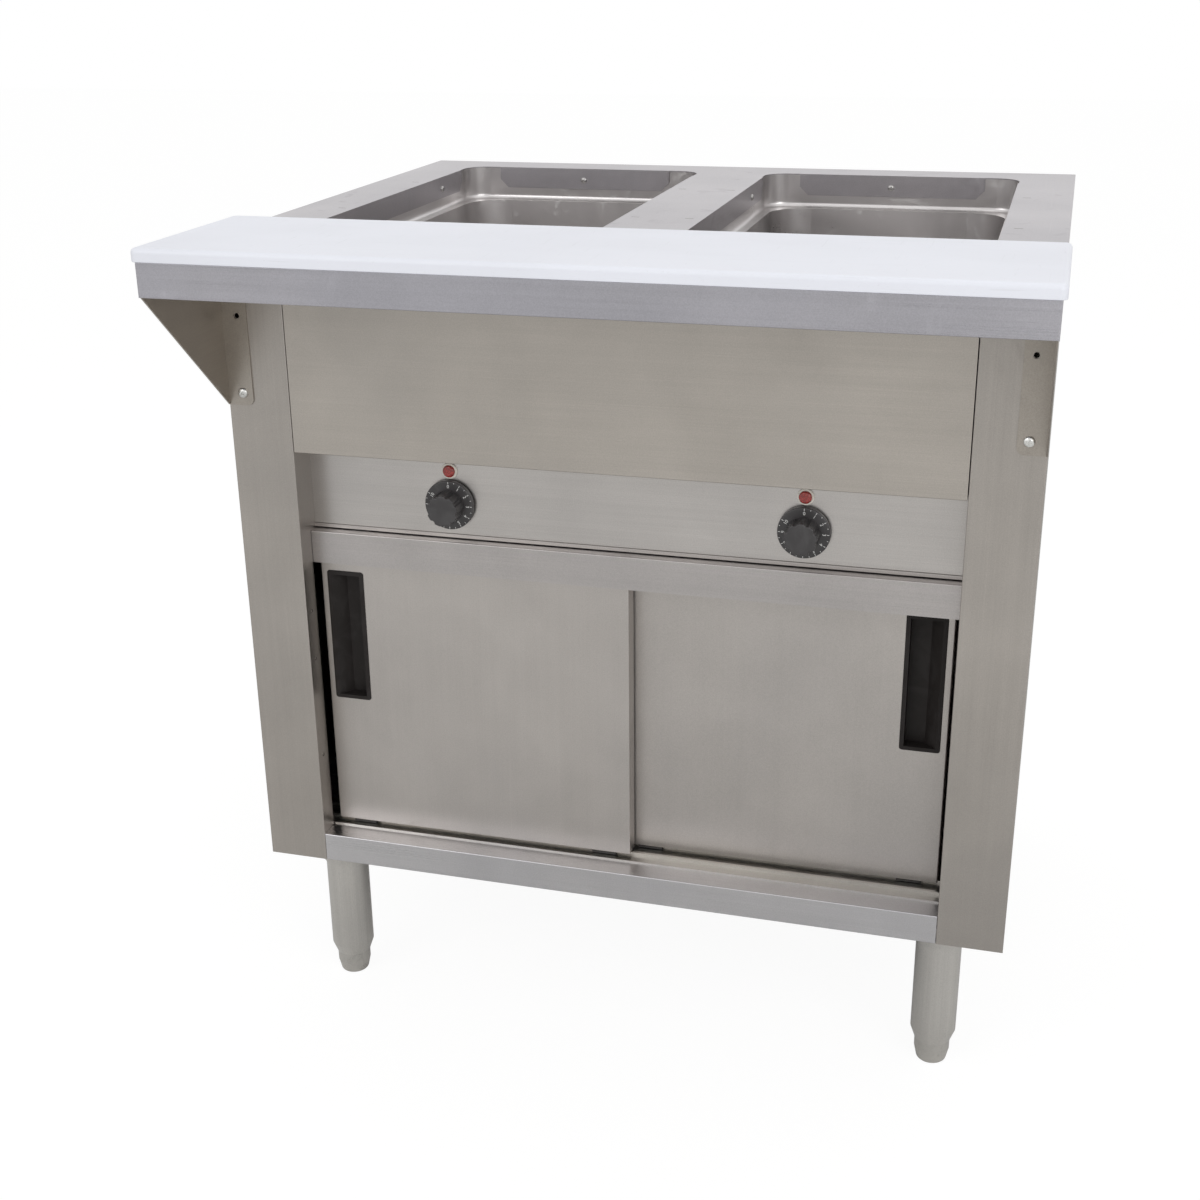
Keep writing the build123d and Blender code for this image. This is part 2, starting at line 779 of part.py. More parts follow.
# Doors: hollow trays with a lip round the back, each with a recessed handle and two glides
handle_top = header_bottom - handle_top_gap
handle_z = handle_top - handle_length / 2
for hand, side in sides:
    door_face = door_faces[side]
    door_outer = hand * (jamb - door_side_gap)
    door_inner = door_outer - hand * door_width
    handle_x = door_outer - hand * (handle_side_gap + handle_width / 2)
    pocket_width = handle_width - 2 * handle_border
    pocket_length = handle_length - 2 * handle_border
    with BuildPart() as door_panel:
        with BuildSketch(facing_front(door_face)):
            patch(door_outer, door_bottom, door_inner, door_top)
        extrude(amount=-door_thickness)
        fillet(door_panel.edges().filter_by(Axis.Z).group_by(Axis.Y)[0], radius=door_edge_round)
        fillet(door_panel.faces().sort_by(Axis.Y)[0].edges().group_by(Axis.Z)[0], radius=bend_round)
        with BuildSketch(facing_front(door_face + door_skin)):
            patch(
                door_outer - hand * door_skin,
                door_bottom + door_skin,
                door_inner + hand * door_skin,
                door_top - door_skin,
            )
        extrude(amount=2 * door_skin - door_thickness, mode=Mode.SUBTRACT)
        with BuildSketch(facing_front(door_face + door_thickness / 2)):
            patch(
                door_outer - hand * door_rear_lip,
                door_bottom + door_rear_lip,
                door_inner + hand * door_rear_lip,
                door_top - door_rear_lip,
            )
        extrude(amount=-door_thickness, mode=Mode.SUBTRACT)
        with BuildSketch(facing_front(door_face)):
            with Locations((handle_x, handle_z)):
                Rectangle(
                    pocket_width + 2 * (handle_wall + fit_gap / 2),
                    pocket_length + 2 * (handle_wall + fit_gap / 2),
                )
        extrude(amount=-2 * door_skin, mode=Mode.SUBTRACT)
    save(door_panel.part, f"{side}_door_panel")

    with BuildPart() as door_handle:
        with BuildSketch(facing_front(door_face)):
            with Locations((handle_x, handle_z)):
                RectangleRounded(handle_width, handle_length, handle_corner)
        extrude(amount=handle_flange)
        chamfer(door_handle.faces().sort_by(Axis.Y)[0].edges(), length=handle_flange / 2)
        with BuildSketch(facing_front(door_face)):
            with Locations((handle_x, handle_z)):
                Rectangle(pocket_width + 2 * handle_wall, pocket_length + 2 * handle_wall)
        extrude(amount=-handle_depth)
        pocket_outer = handle_x + hand * pocket_width / 2
        with BuildSketch(level(handle_z - pocket_length / 2)):
            Polygon(
                (pocket_outer - hand * pocket_width, door_face - handle_flange),
                (pocket_outer, door_face - handle_flange),
                (pocket_outer - hand * handle_ramp, door_face + handle_depth - handle_wall),
                (pocket_outer - hand * pocket_width, door_face + handle_depth - handle_wall),
                align=None,
            )
        extrude(amount=pocket_length, mode=Mode.SUBTRACT)
    save(door_handle.part, f"{side}_door_handle")

    with BuildPart() as door_glides:
        glide_y = door_face + door_thickness / 2
        for glide_x in (door_outer - hand * glide_inset, door_inner + hand * glide_inset):
            with BuildSketch(across(glide_x)):
                patch(glide_y - glide_width / 2, track_floor + glide_gap, glide_y + glide_width / 2, door_bottom)
                slot_half = rib_width / 2 + glide_slot_gap
                patch(glide_y - slot_half, track_floor, glide_y + slot_half, rib_top, mode=Mode.SUBTRACT)
            extrude(amount=glide_length / 2, both=True)
    save(door_glides.part, f"{side}_door_glides")

# Controls: a thermostat behind the panel, its shaft, and a fluted knob on a round dial
for hand, side in sides:
    knob_x = hand * control_x
    panel_rear = panel_face + sheet
    with BuildPart() as thermostat:
        with BuildSketch(facing_front(panel_rear)):
            with Locations((knob_x, knob_z)):
                Rectangle(thermostat_size, thermostat_size)
                chamfer(vertices(), length=thermostat_chamfer)
        extrude(amount=-thermostat_depth)
        with BuildSketch(facing_front(panel_rear)):
            with Locations((knob_x, knob_z)):
                Circle(bushing_radius)
        extrude(amount=sheet + bushing_reach)
        with BuildSketch(facing_front(panel_face - bushing_reach)):
            with Locations((knob_x, knob_z)):
                Circle(shaft_radius + shaft_clearance)
        shaft_in_body = shaft_length - shaft_in_knob - dial_standoff + bushing_reach + fit_gap
        extrude(amount=-shaft_in_body, mode=Mode.SUBTRACT)
    save(thermostat.part, f"{side}_thermostat")

    dial_back = panel_face - dial_standoff
    with BuildPart() as knob:
        with BuildSketch(facing_front(dial_back)):
            with Locations((knob_x, knob_z)):
                Circle(dial_radius)
        extrude(amount=dial_thickness)
        fillet(knob.faces().sort_by(Axis.Y)[0].edges(), radius=dial_round)
        with BuildSketch(facing_front(dial_back - dial_thickness)):
            with Locations((knob_x, knob_z)):
                Circle(grip_radius)
                with PolarLocations(flute_centre, grip_flutes, start_angle=90 + 180 / grip_flutes):
                    Circle(flute_radius, mode=Mode.SUBTRACT)
        extrude(amount=grip_height)
        fillet(knob.faces().sort_by(Axis.Y)[0].edges(), radius=grip_round)
        with BuildSketch(facing_front(dial_back)):
            with Locations((knob_x, knob_z)):
                Circle(shaft_radius)
        extrude(amount=shaft_in_knob, mode=Mode.SUBTRACT)
    save(knob.part, f"{side}_knob")

    with BuildPart() as knob_shaft:
        with BuildSketch(facing_front(dial_back - shaft_in_knob)):
            with Locations((knob_x, knob_z)):
                Circle(shaft_radius)
        extrude(amount=-shaft_length)
    save(knob_shaft.part, f"{side}_knob_shaft")

    with BuildPart() as pilot_bezel:
        with BuildSketch(facing_front(panel_face)):
            with Locations((knob_x, pilot_z)):
                Circle(pilot_bezel_radius)
        extrude(amount=pilot_bezel_thickness)
        fillet(pilot_bezel.faces().sort_by(Axis.Y)[0].edges(), radius=pilot_bezel_thickness / 2)
        with BuildSketch(facing_front(panel_face)):
            with Locations((knob_x, pilot_z)):
                Circle(pilot_body_radius)
        extrude(amount=-pilot_body_length)
        with BuildSketch(facing_front(panel_face - pilot_bezel_thickness)):
            with Locations((knob_x, pilot_z)):
                Circle(pilot_lens_radius)
        extrude(amount=-pilot_lens_seat, mode=Mode.SUBTRACT)
    save(pilot_bezel.part, f"{side}_pilot_bezel")

    lens_back = panel_face - pilot_bezel_thickness + pilot_lens_seat
    with BuildPart() as pilot_lens:
        with BuildSketch(facing_front(lens_back)):
            with Locations((knob_x, pilot_z)):
                Circle(pilot_lens_radius)
        extrude(amount=pilot_lens_height)
        fillet(pilot_lens.faces().sort_by(Axis.Y)[0].edges(), radius=pilot_lens_round)
    save(pilot_lens.part, f"{side}_pilot_lens")

# Legs: a flared socket, a tube with a necked and plugged end, and a screwed foot
leg_top = channel_bottom - socket_roof
for hand, side in sides:
    for end, end_y in (("front", front + leg_inset), ("rear", back - leg_inset)):
        axis_plane = Plane((hand * leg_x, end_y, 0), (1, 0, 0), (0, -1, 0))
        turning = Axis((hand * leg_x, end_y, 0), (0, 0, 1))
        with BuildPart() as leg_socket:
            with BuildSketch(axis_plane):
                Polygon(
                    (0, leg_top),
                    (leg_radius + socket_clearance, leg_top),
                    (leg_radius + socket_clearance, channel_bottom - socket_height),
                    (socket_lip_radius, channel_bottom - socket_height),
                    (socket_radius, channel_bottom - socket_height / 2),
                    (socket_radius, channel_bottom),
                    (0, channel_bottom),
                    align=None,
                )
            revolve(axis=turning)
        save(leg_socket.part, f"{end}_{side}_leg_socket")

        with BuildPart() as leg:
            with BuildSketch(axis_plane):
                Polygon(
                    (foot_stem_radius + foot_clearance, leg_bottom),
                    (leg_neck_radius, leg_bottom),
                    (leg_radius, leg_bottom + leg_neck_height),
                    (leg_radius, leg_top),
                    (leg_radius - leg_wall, leg_top),
                    (leg_radius - leg_wall, leg_bottom + leg_plug_height),
                    (foot_stem_radius + foot_clearance, leg_bottom + leg_plug_height),
                    align=None,
                )
            revolve(axis=turning)
        save(leg.part, f"{end}_{side}_leg")

        foot_top = leg_bottom - foot_clearance
        with BuildPart() as foot:
            with BuildSketch(axis_plane):
                Polygon(
                    (0, 0),
                    (foot_tip_radius, 0),
                    (foot_radius, foot_straight),
                    (foot_radius, foot_top),
                    (foot_stem_radius, foot_top),
                    (foot_stem_radius, foot_top + foot_stem_length),
                    (0, foot_top + foot_stem_length),
                    align=None,
                )
            revolve(axis=turning)
            fillet(foot.edges().group_by(Axis.Z)[0], radius=foot_round)
        save(foot.part, f"{end}_{side}_foot")

# Supply box inside the back, with a gland that points down to the hole in the base shelf
with BuildPart() as supply_box:
    with BuildSketch(level(supply_z - supply_height / 2)):
        with Locations((supply_x, supply_y)):
            Rectangle(supply_width, supply_depth)
    extrude(amount=supply_height)
    fillet(supply_box.edges().filter_by(Axis.Z).group_by(Axis.Y)[0], radius=supply_round)
save(supply_box.part, "supply_box")

with BuildPart() as cord_gland:
    with BuildSketch(level(supply_z - supply_height / 2)):
        with Locations((supply_x, supply_y)):
            RegularPolygon(gland_radius, gland_sides)
            Circle(gland_bore, mode=Mode.SUBTRACT)
    extrude(amount=-gland_length)
save(cord_gland.part, "cord_gland")
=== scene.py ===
"""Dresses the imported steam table: studio, camera, finishes and the pieces too fine for the solids."""

import logging
import math
from dataclasses import dataclass, field
from enum import Enum
from typing import Any, ClassVar, Iterable, Sequence

import bmesh
import bpy
from mathutils import Matrix, Vector


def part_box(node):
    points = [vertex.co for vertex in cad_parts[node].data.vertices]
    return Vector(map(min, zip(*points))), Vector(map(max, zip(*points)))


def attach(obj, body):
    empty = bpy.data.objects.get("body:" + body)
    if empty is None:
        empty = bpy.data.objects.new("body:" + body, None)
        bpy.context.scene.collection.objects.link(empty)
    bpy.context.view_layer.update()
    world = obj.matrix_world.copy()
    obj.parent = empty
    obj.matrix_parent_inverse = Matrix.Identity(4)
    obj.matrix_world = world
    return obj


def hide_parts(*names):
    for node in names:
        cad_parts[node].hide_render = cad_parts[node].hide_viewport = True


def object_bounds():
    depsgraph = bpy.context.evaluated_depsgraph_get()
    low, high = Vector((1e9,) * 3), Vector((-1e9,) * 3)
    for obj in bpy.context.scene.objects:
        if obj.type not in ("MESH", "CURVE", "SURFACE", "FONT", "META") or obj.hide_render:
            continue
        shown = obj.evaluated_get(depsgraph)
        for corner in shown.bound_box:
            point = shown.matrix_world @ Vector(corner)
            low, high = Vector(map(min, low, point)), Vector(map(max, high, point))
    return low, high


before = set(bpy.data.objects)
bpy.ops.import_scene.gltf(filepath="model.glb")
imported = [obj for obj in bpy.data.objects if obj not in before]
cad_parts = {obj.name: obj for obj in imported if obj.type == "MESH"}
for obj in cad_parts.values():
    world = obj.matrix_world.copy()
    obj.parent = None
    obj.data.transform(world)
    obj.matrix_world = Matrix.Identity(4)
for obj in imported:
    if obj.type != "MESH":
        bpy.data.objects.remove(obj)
CAD_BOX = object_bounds()

LOG = logging.getLogger("steam_table")
HANDS = {"left": -1.0, "right": 1.0}
ENDS = ("front", "rear")
UPRIGHT = Matrix.Rotation(math.pi / 2.0, 4, "X")
WHITE = (1.0, 1.0, 1.0, 1.0)
Colour = tuple[float, float, float]


class Grain(Enum):
    """Direction in which a sheet was brushed."""

    ACROSS = (6.0, 900.0, 900.0)
    DEEP = (900.0, 6.0, 900.0)
    UPRIGHT = (900.0, 900.0, 6.0)


class Signal:
    """A shader value on which Python arithmetic adds Math nodes."""

    def __init__(self, graph: "Graph", socket: bpy.types.NodeSocket) -> None:
        """Wraps one output socket.

        Args:
            graph: the node graph that owns the socket.
            socket: the output socket.
        """
        self.graph = graph
        self.socket = socket

    def _math(self, operation: str, first: Any, second: Any) -> "Signal":
        """Adds one Math node.

        Args:
            operation: the node's operation.
            first: value or signal of the first input.
            second: value or signal of the second input.

        Returns:
            The node's result.
        """
        return self.graph.node("ShaderNodeMath", {"operation": operation}, {0: first, 1: second})

    def __add__(self, other: Any) -> "Signal":
        """Sum."""
        return self._math("ADD", self, other)

    __radd__ = __add__

    def __sub__(self, other: Any) -> "Signal":
        """Difference."""
        return self._math("SUBTRACT", self, other)

    def __rsub__(self, other: Any) -> "Signal":
        """Difference, the other way round."""
        return self._math("SUBTRACT", other, self)

    def __mul__(self, other: Any) -> "Signal":
        """Product."""
        return self._math("MULTIPLY", self, other)

    __rmul__ = __mul__

    def __gt__(self, other: float) -> "Signal":
        """One where the value is above the other, zero elsewhere."""
        return self._math("GREATER_THAN", self, other)

    def between(self, low: float, high: float) -> "Signal":
        """Soft step.

        Args:
            low: value that gives zero.
            high: value that gives one.

        Returns:
            The value mapped to the range from zero to one, with soft ends.
        """
        settings = {"interpolation_type": "SMOOTHSTEP"}
        limits = {"Value": self, "From Min": low, "From Max": high}
        return self.graph.node("ShaderNodeMapRange", settings, limits)


class Graph:
    """Node graph of one material or of the world."""

    def __init__(self, tree: bpy.types.NodeTree) -> None:
        """Clears the tree.

        Args:
            tree: node tree to fill.
        """
        self.tree = tree
        tree.nodes.clear()

    def node(
        self,
        kind: str,
        settings: dict[str, Any] | None = None,
        inputs: dict[int | str, Any] | None = None,
        output: int | str = 0,
    ) -> Signal:
        """Adds one node.

        Args:
            kind: type name of the node.
            settings: its properties, set first.
            inputs: values or signals of its sockets, by name or index.
            output: the output that is returned, by name or index.

        Returns:
            The chosen output.
        """
        made = self.tree.nodes.new(kind)
        for key, value in (settings or {}).items():
            setattr(made, key, value)
        for key, value in (inputs or {}).items():
            if isinstance(value, Signal):
                self.tree.links.new(value.socket, made.inputs[key])
            else:
                made.inputs[key].default_value = value
        return Signal(self, made.outputs[output])

    def place(self, scale: Sequence[float]) -> Signal:
        """Point on the surface, in the piece's own metres.

        Args:
            scale: factors along X, Y and Z.

        Returns:
            The scaled point.
        """
        point = self.node("ShaderNodeTexCoord", output="Object")
        return self.node("ShaderNodeVectorMath", {"operation": "MULTIPLY"}, {0: point, 1: tuple(scale)})

    def noise(self, scale: Sequence[float], detail: float = 2.0, twist: float = 0.0) -> Signal:
        """Noise over the surface.

        Args:
            scale: cells per metre along X, Y and Z.
            detail: octaves.
            twist: distortion.

        Returns:
            A value near one half.
        """
        inputs = {"Vector": self.place(scale), "Scale": 1.0, "Detail": detail, "Distortion": twist}
        return self.node("ShaderNodeTexNoise", {}, inputs)

    def blend(self, amount: Any, first: Any, second: Any) -> Signal:
        """Mixes two colours.

        Args:
            amount: share of the second colour.
            first: first colour.
            second: second colour.

        Returns:
            The mixed colour.
        """
        colours = {6: self._rgba(first), 7: self._rgba(second)}
        return self.node("ShaderNodeMix", {"data_type": "RGBA"}, {0: amount, **colours}, 2)

    @staticmethod
    def _rgba(colour: Any) -> Any:
        """A colour with alpha; a signal stays as it is."""
        return colour if isinstance(colour, Signal) else (*colour, 1.0)

    def bump(self, height: Signal, strength: float, distance: float) -> Signal:
        """Normal pushed by a height.

        Args:
            height: height from zero to one.
            strength: share of the effect.
            distance: full height in metres.

        Returns:
            The normal.
        """
        inputs = {"Strength": strength, "Distance": distance, "Height": height}
        return self.node("ShaderNodeBump", {}, inputs)

    def surface(self, **inputs: Any) -> None:
        """Ends the graph in one Principled shader.

        Args:
            inputs: socket values or signals; underscores stand for spaces.
        """
        named = {key.replace("_", " "): value for key, value in inputs.items()}
        shader = self.node("ShaderNodeBsdfPrincipled", {}, named)
        self.end(shader)

    def end(self, shader: Signal, kind: str = "ShaderNodeOutputMaterial") -> None:
        """Links a shader to the output.

        Args:
            shader: the last shader.
            kind: type name of the output node.
        """
        output = self.tree.nodes.new(kind)
        self.tree.links.new(shader.socket, output.inputs["Surface"])


@dataclass(frozen=True)
class Finish:
    """A named finish. Each kind of finish draws its own graph."""

    name: str
    tone: Colour

    def draw(self, graph: Graph) -> None:
        """Fills the graph of this finish."""
        graph.surface(Base_Color=(*self.tone, 1.0))

    def material(self) -> bpy.types.Material:
        """The finish as a material, made once.

        Returns:
            The material.
        """
        known = bpy.data.materials.get(self.name)
        if known is not None:
            return known
        made = bpy.data.materials.new(self.name)
        made.use_nodes = True
        self.draw(Graph(made.node_tree))
        return made

    def put_on(self, nodes: Iterable[str]) -> None:
        """Gives this finish to nodes of the frame.

        Args:
            nodes: names of the nodes.
        """
        for node in nodes:
            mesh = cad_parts[node].data
            mesh.materials.clear()
            mesh.materials.append(self.material())


@dataclass(frozen=True)
class Mottle:
    """A noise over a surface, and the soft step that cuts marks out of it."""

    scale: tuple[float, float, float]
    detail: float = 2.0
    twist: float = 0.0
    low: float = 0.3
    high: float = 0.7

    def noise(self, graph: Graph) -> Signal:
        """Draws the noise.

        Args:
            graph: the graph that it goes into.

        Returns:
            A value near one half.
        """
        return graph.noise(self.scale, self.detail, self.twist)

    def marks(self, noise: Signal) -> Signal:
        """Cuts the noise with the step.

        Args:
            noise: the noise of this mottle.

        Returns:
            One inside the marks, zero between them.
        """
        return noise.between(self.low, self.high)


def even(size: float) -> tuple[float, float, float]:
    """The same count of cells per metre along X, Y and Z."""
    return (size, size, size)


def shaded(tone: Colour, factor: float) -> Colour:
    """A colour times a factor, with no part above one.

    Args:
        tone: the colour.
        factor: the factor.

    Returns:
        The new colour.
    """
    return tuple(min(1.0, part * factor) for part in tone)


@dataclass(frozen=True)
class BrushedSteel(Finish):
    """Stainless sheet with a brushed grain, cloudy tone, fine scratches and hand smudges."""

    CLOUDS: ClassVar[Mottle] = Mottle((3.2, 3.2, 2.4), detail=3.0, twist=0.6, low=0.36, high=0.66)
    PRINTS: ClassVar[Mottle] = Mottle((19.0, 19.0, 15.0), detail=4.0, twist=1.6, low=0.60, high=0.74)
    PATCHES: ClassVar[Mottle] = Mottle(even(11.0), detail=4.0, twist=0.4)
    SPARKLE: ClassVar[Mottle] = Mottle(even(950.0), detail=1.0)
    FINE_DETAIL: ClassVar[float] = 3.0
    COARSE_RATIO: ClassVar[float] = 7.0
    SCRATCH_RATIO: ClassVar[float] = 0.45
    SCRATCH_STEP: ClassVar[tuple[float, float]] = (0.70, 0.76)
    SCRATCH_SHARE: ClassVar[float] = 0.22
    CLOUD_SHARE: ClassVar[float] = 0.55
    COOL_TINT: ClassVar[Colour] = (1.0, 1.01, 1.03)
    FINE_COLOUR: ClassVar[float] = 0.6
    FINE_HEIGHT: ClassVar[float] = 0.7
    BUMP_STRENGTH: ClassVar[float] = 0.35
    FINE_ROUGH: ClassVar[float] = 0.10
    COARSE_ROUGH: ClassVar[float] = 0.06
    CLOUD_ROUGH: ClassVar[float] = 0.08

    grain: Grain = Grain.ACROSS
    roughness: float = 0.36
    streak: float = 0.14
    cloud: float = 0.16
    smudge: float = 0.10
    patch: float = 0.22
    sparkle: float = 0.30
    relief: float = 0.00002

    def draw(self, graph: Graph) -> None:
        """Fills the graph of this finish.

        Args:
            graph: the graph of its material.
        """
        cells = self.grain.value
        fine = graph.noise(cells, self.FINE_DETAIL)
        coarse = graph.noise([step / self.COARSE_RATIO + 1.0 for step in cells])
        scratches = graph.noise([step * self.SCRATCH_RATIO + 2.0 for step in cells], 1.0)
        clouds = self.CLOUDS.noise(graph)
        colour = self.colour(graph, fine, coarse, clouds, scratches.between(*self.SCRATCH_STEP))
        middle = self.roughness - (self.FINE_ROUGH + self.COARSE_ROUGH + self.CLOUD_ROUGH) / 2.0
        prints = self.PRINTS.marks(self.PRINTS.noise(graph))
        rough = fine * self.FINE_ROUGH + coarse * self.COARSE_ROUGH + clouds * self.CLOUD_ROUGH
        rough = rough + prints * self.smudge + middle
        height = fine * self.FINE_HEIGHT + coarse * (1.0 - self.FINE_HEIGHT)
        normal = graph.bump(height, self.BUMP_STRENGTH, self.relief)
        graph.surface(Base_Color=colour, Metallic=1.0, Roughness=rough, Normal=normal)

    def colour(
        self, graph: Graph, fine: Signal, coarse: Signal, clouds: Signal, scratches: Signal
    ) -> Signal:
        """Mixes the grain, clouds, scratches, patches and sparkle.

        Args:
            graph: the graph that it goes into.
            fine: fine grain.
            coarse: coarse grain.
            clouds: noise of the clouds.
            scratches: one in the scratches.

        Returns:
            The colour.
        """
        dark = shaded(self.tone, 1.0 - self.streak)
        pale = shaded(self.tone, 1.0 + self.streak)
        cool = tuple(part * tint * (1.0 - self.cloud) for part, tint in zip(self.tone, self.COOL_TINT))
        grained = graph.blend(fine * self.FINE_COLOUR + coarse * (1.0 - self.FINE_COLOUR), dark, pale)
        clouded = graph.blend(self.CLOUDS.marks(clouds) * self.CLOUD_SHARE, grained, cool)
        worn = graph.blend(scratches * self.SCRATCH_SHARE, clouded, pale)
        patches = self.PATCHES.noise(graph) * self.patch + self.SPARKLE.noise(graph) * self.sparkle
        shade = patches + (1.0 - (self.patch + self.sparkle) / 2.0)
        return graph.node("ShaderNodeVectorMath", {"operation": "SCALE"}, {0: worn, "Scale": shade})


@dataclass(frozen=True)
class DrawnSteel(Finish):
    """Deep-drawn pan steel: satin, with a soft mottle and water marks."""

    SATIN: ClassVar[Mottle] = Mottle(even(420.0))
    MOTTLE: ClassVar[Mottle] = Mottle(even(7.0), detail=3.0, twist=0.8)
    LIME: ClassVar[Mottle] = Mottle(even(34.0), detail=4.0, twist=2.2, low=0.58, high=0.70)
    LIME_TONE: ClassVar[Colour] = (0.62, 0.62, 0.60)
    LIME_SHARE: ClassVar[float] = 0.18
    CONTRAST: ClassVar[float] = 0.12
    SATIN_ROUGH: ClassVar[float] = 0.08
    MOTTLE_ROUGH: ClassVar[float] = 0.10
    LIME_ROUGH: ClassVar[float] = 0.10
    BUMP_STRENGTH: ClassVar[float] = 0.25
    RELIEF: ClassVar[float] = 0.00002

    roughness: float = 0.30

    def draw(self, graph: Graph) -> None:
        """Fills the graph of this finish.

        Args:
            graph: the graph of its material.
        """
        satin = self.SATIN.noise(graph)
        mottle = self.MOTTLE.noise(graph)
        lime = self.LIME.marks(self.LIME.noise(graph))
        dark, pale = shaded(self.tone, 1.0 - self.CONTRAST), shaded(self.tone, 1.0 + self.CONTRAST)
        colour = graph.blend(self.MOTTLE.marks(mottle), dark, pale)
        limed = graph.blend(lime * self.LIME_SHARE, colour, self.LIME_TONE)
        middle = self.roughness - (self.SATIN_ROUGH + self.MOTTLE_ROUGH) / 2.0
        rough = satin * self.SATIN_ROUGH + mottle * self.MOTTLE_ROUGH + lime * self.LIME_ROUGH + middle
        normal = graph.bump(satin, self.BUMP_STRENGTH, self.RELIEF)
        graph.surface(Base_Color=limed, Metallic=1.0, Roughness=rough, Normal=normal)


@dataclass(frozen=True)
class TurnedMetal(Finish):
    """Plated, cast or turned metal with a fine grain and tarnish."""

    RINGS: ClassVar[Mottle] = Mottle((60.0, 60.0, 1400.0))
    SPOTS: ClassVar[Mottle] = Mottle(even(120.0), detail=4.0, twist=1.2, low=0.45, high=0.72)
    RING_ROUGH: ClassVar[float] = 0.08
    SPOT_ROUGH: ClassVar[float] = 0.14
    ROUGH_DROP: ClassVar[float] = 0.10
    BUMP_STRENGTH: ClassVar[float] = 0.3
    RELIEF: ClassVar[float] = 0.00003

    roughness: float = 0.28
    tarnish: Colour = (0.30, 0.29, 0.27)
    tarnish_share: float = 0.35

    def draw(self, graph: Graph) -> None:
        """Fills the graph of this finish.

        Args:
            graph: the graph of its material.
        """
        rings = self.RINGS.noise(graph)
        spots = self.SPOTS.noise(graph)
        aged = graph.blend(self.SPOTS.marks(spots) * self.tarnish_share, self.tone, self.tarnish)
        rough = rings * self.RING_ROUGH + spots * self.SPOT_ROUGH + (self.roughness - self.ROUGH_DROP)
        normal = graph.bump(rings, self.BUMP_STRENGTH, self.RELIEF)
        graph.surface(Base_Color=aged, Metallic=1.0, Roughness=rough, Normal=normal)


@dataclass(frozen=True)
class Moulded(Finish):
    """Moulded plastic with a fine texture, dust and a rubbed sheen."""

    PORES: ClassVar[Mottle] = Mottle(even(1500.0))
    FILM: ClassVar[Mottle] = Mottle(even(45.0), detail=4.0, twist=1.0, low=0.42, high=0.74)
    DUST_KEEP: ClassVar[float] = 0.72
    DUST_LIFT: ClassVar[float] = 0.16
    FILM_ROUGH: ClassVar[float] = 0.18
    PORE_ROUGH: ClassVar[float] = 0.08
    BUMP_STRENGTH: ClassVar[float] = 0.5

    roughness: float = 0.45
    dust: float = 0.10
    texture: float = 0.00003
    shine: float = 0.5

    def draw(self, graph: Graph) -> None:
        """Fills the graph of this finish.

        Args:
            graph: the graph of its material.
        """
        pores = self.PORES.noise(graph)
        film = self.FILM.noise(graph)
        dusty = tuple(self.DUST_KEEP * part + self.DUST_LIFT for part in self.tone)
        colour = graph.blend(self.FILM.marks(film) * self.dust, self.tone, dusty)
        middle = self.roughness - (self.FILM_ROUGH + self.PORE_ROUGH) / 2.0
        rough = film * self.FILM_ROUGH + pores * self.PORE_ROUGH + middle
        normal = graph.bump(pores, self.BUMP_STRENGTH, self.texture)
        graph.surface(Base_Color=colour, Roughness=rough, Specular_IOR_Level=self.shine, Normal=normal)


@dataclass(frozen=True)
class BoardPlastic(Finish):
    """White board plastic with a fine grain and shallow knife marks in two directions."""

    PORES: ClassVar[Mottle] = Mottle(even(700.0), detail=3.0)
    CLOUD: ClassVar[Mottle] = Mottle((5.0, 9.0, 5.0), detail=3.0, twist=0.0, low=0.35, high=0.7)
    LONG_CUTS: ClassVar[Mottle] = Mottle((14.0, 620.0, 620.0), detail=1.0, twist=0.5, low=0.68, high=0.74)
    SHORT_CUTS: ClassVar[Mottle] = Mottle((520.0, 24.0, 520.0), detail=1.0, twist=0.8, low=0.69, high=0.75)
    GREY: ClassVar[float] = 0.93
    CLOUD_SHARE: ClassVar[float] = 0.5
    CUT_TONE: ClassVar[Colour] = (0.52, 0.52, 0.50)
    CUT_SHARE: ClassVar[float] = 0.10
    PORE_ROUGH: ClassVar[float] = 0.10
    CUT_ROUGH: ClassVar[float] = 0.08
    PORE_HEIGHT: ClassVar[float] = 0.4
    CUT_DEPTH: ClassVar[float] = 0.6
    BUMP_STRENGTH: ClassVar[float] = 0.25
    RELIEF: ClassVar[float] = 0.00006

    roughness: float = 0.42

    def draw(self, graph: Graph) -> None:
        """Fills the graph of this finish.

        Args:
            graph: the graph of its material.
        """
        pores = self.PORES.noise(graph)
        cloud = self.CLOUD.marks(self.CLOUD.noise(graph))
        cuts = self.LONG_CUTS.marks(self.LONG_CUTS.noise(graph))
        cuts = cuts + self.SHORT_CUTS.marks(self.SHORT_CUTS.noise(graph))
        colour = graph.blend(cloud * self.CLOUD_SHARE, self.tone, shaded(self.tone, self.GREY))
        marked = graph.blend(cuts * self.CUT_SHARE, colour, self.CUT_TONE)
        middle = self.roughness - self.PORE_ROUGH / 2.0
        rough = pores * self.PORE_ROUGH + cuts * self.CUT_ROUGH + middle
        height = pores * self.PORE_HEIGHT - cuts * self.CUT_DEPTH
        normal = graph.bump(height, self.BUMP_STRENGTH, self.RELIEF)
        graph.surface(Base_Color=marked, Roughness=rough, Normal=normal)


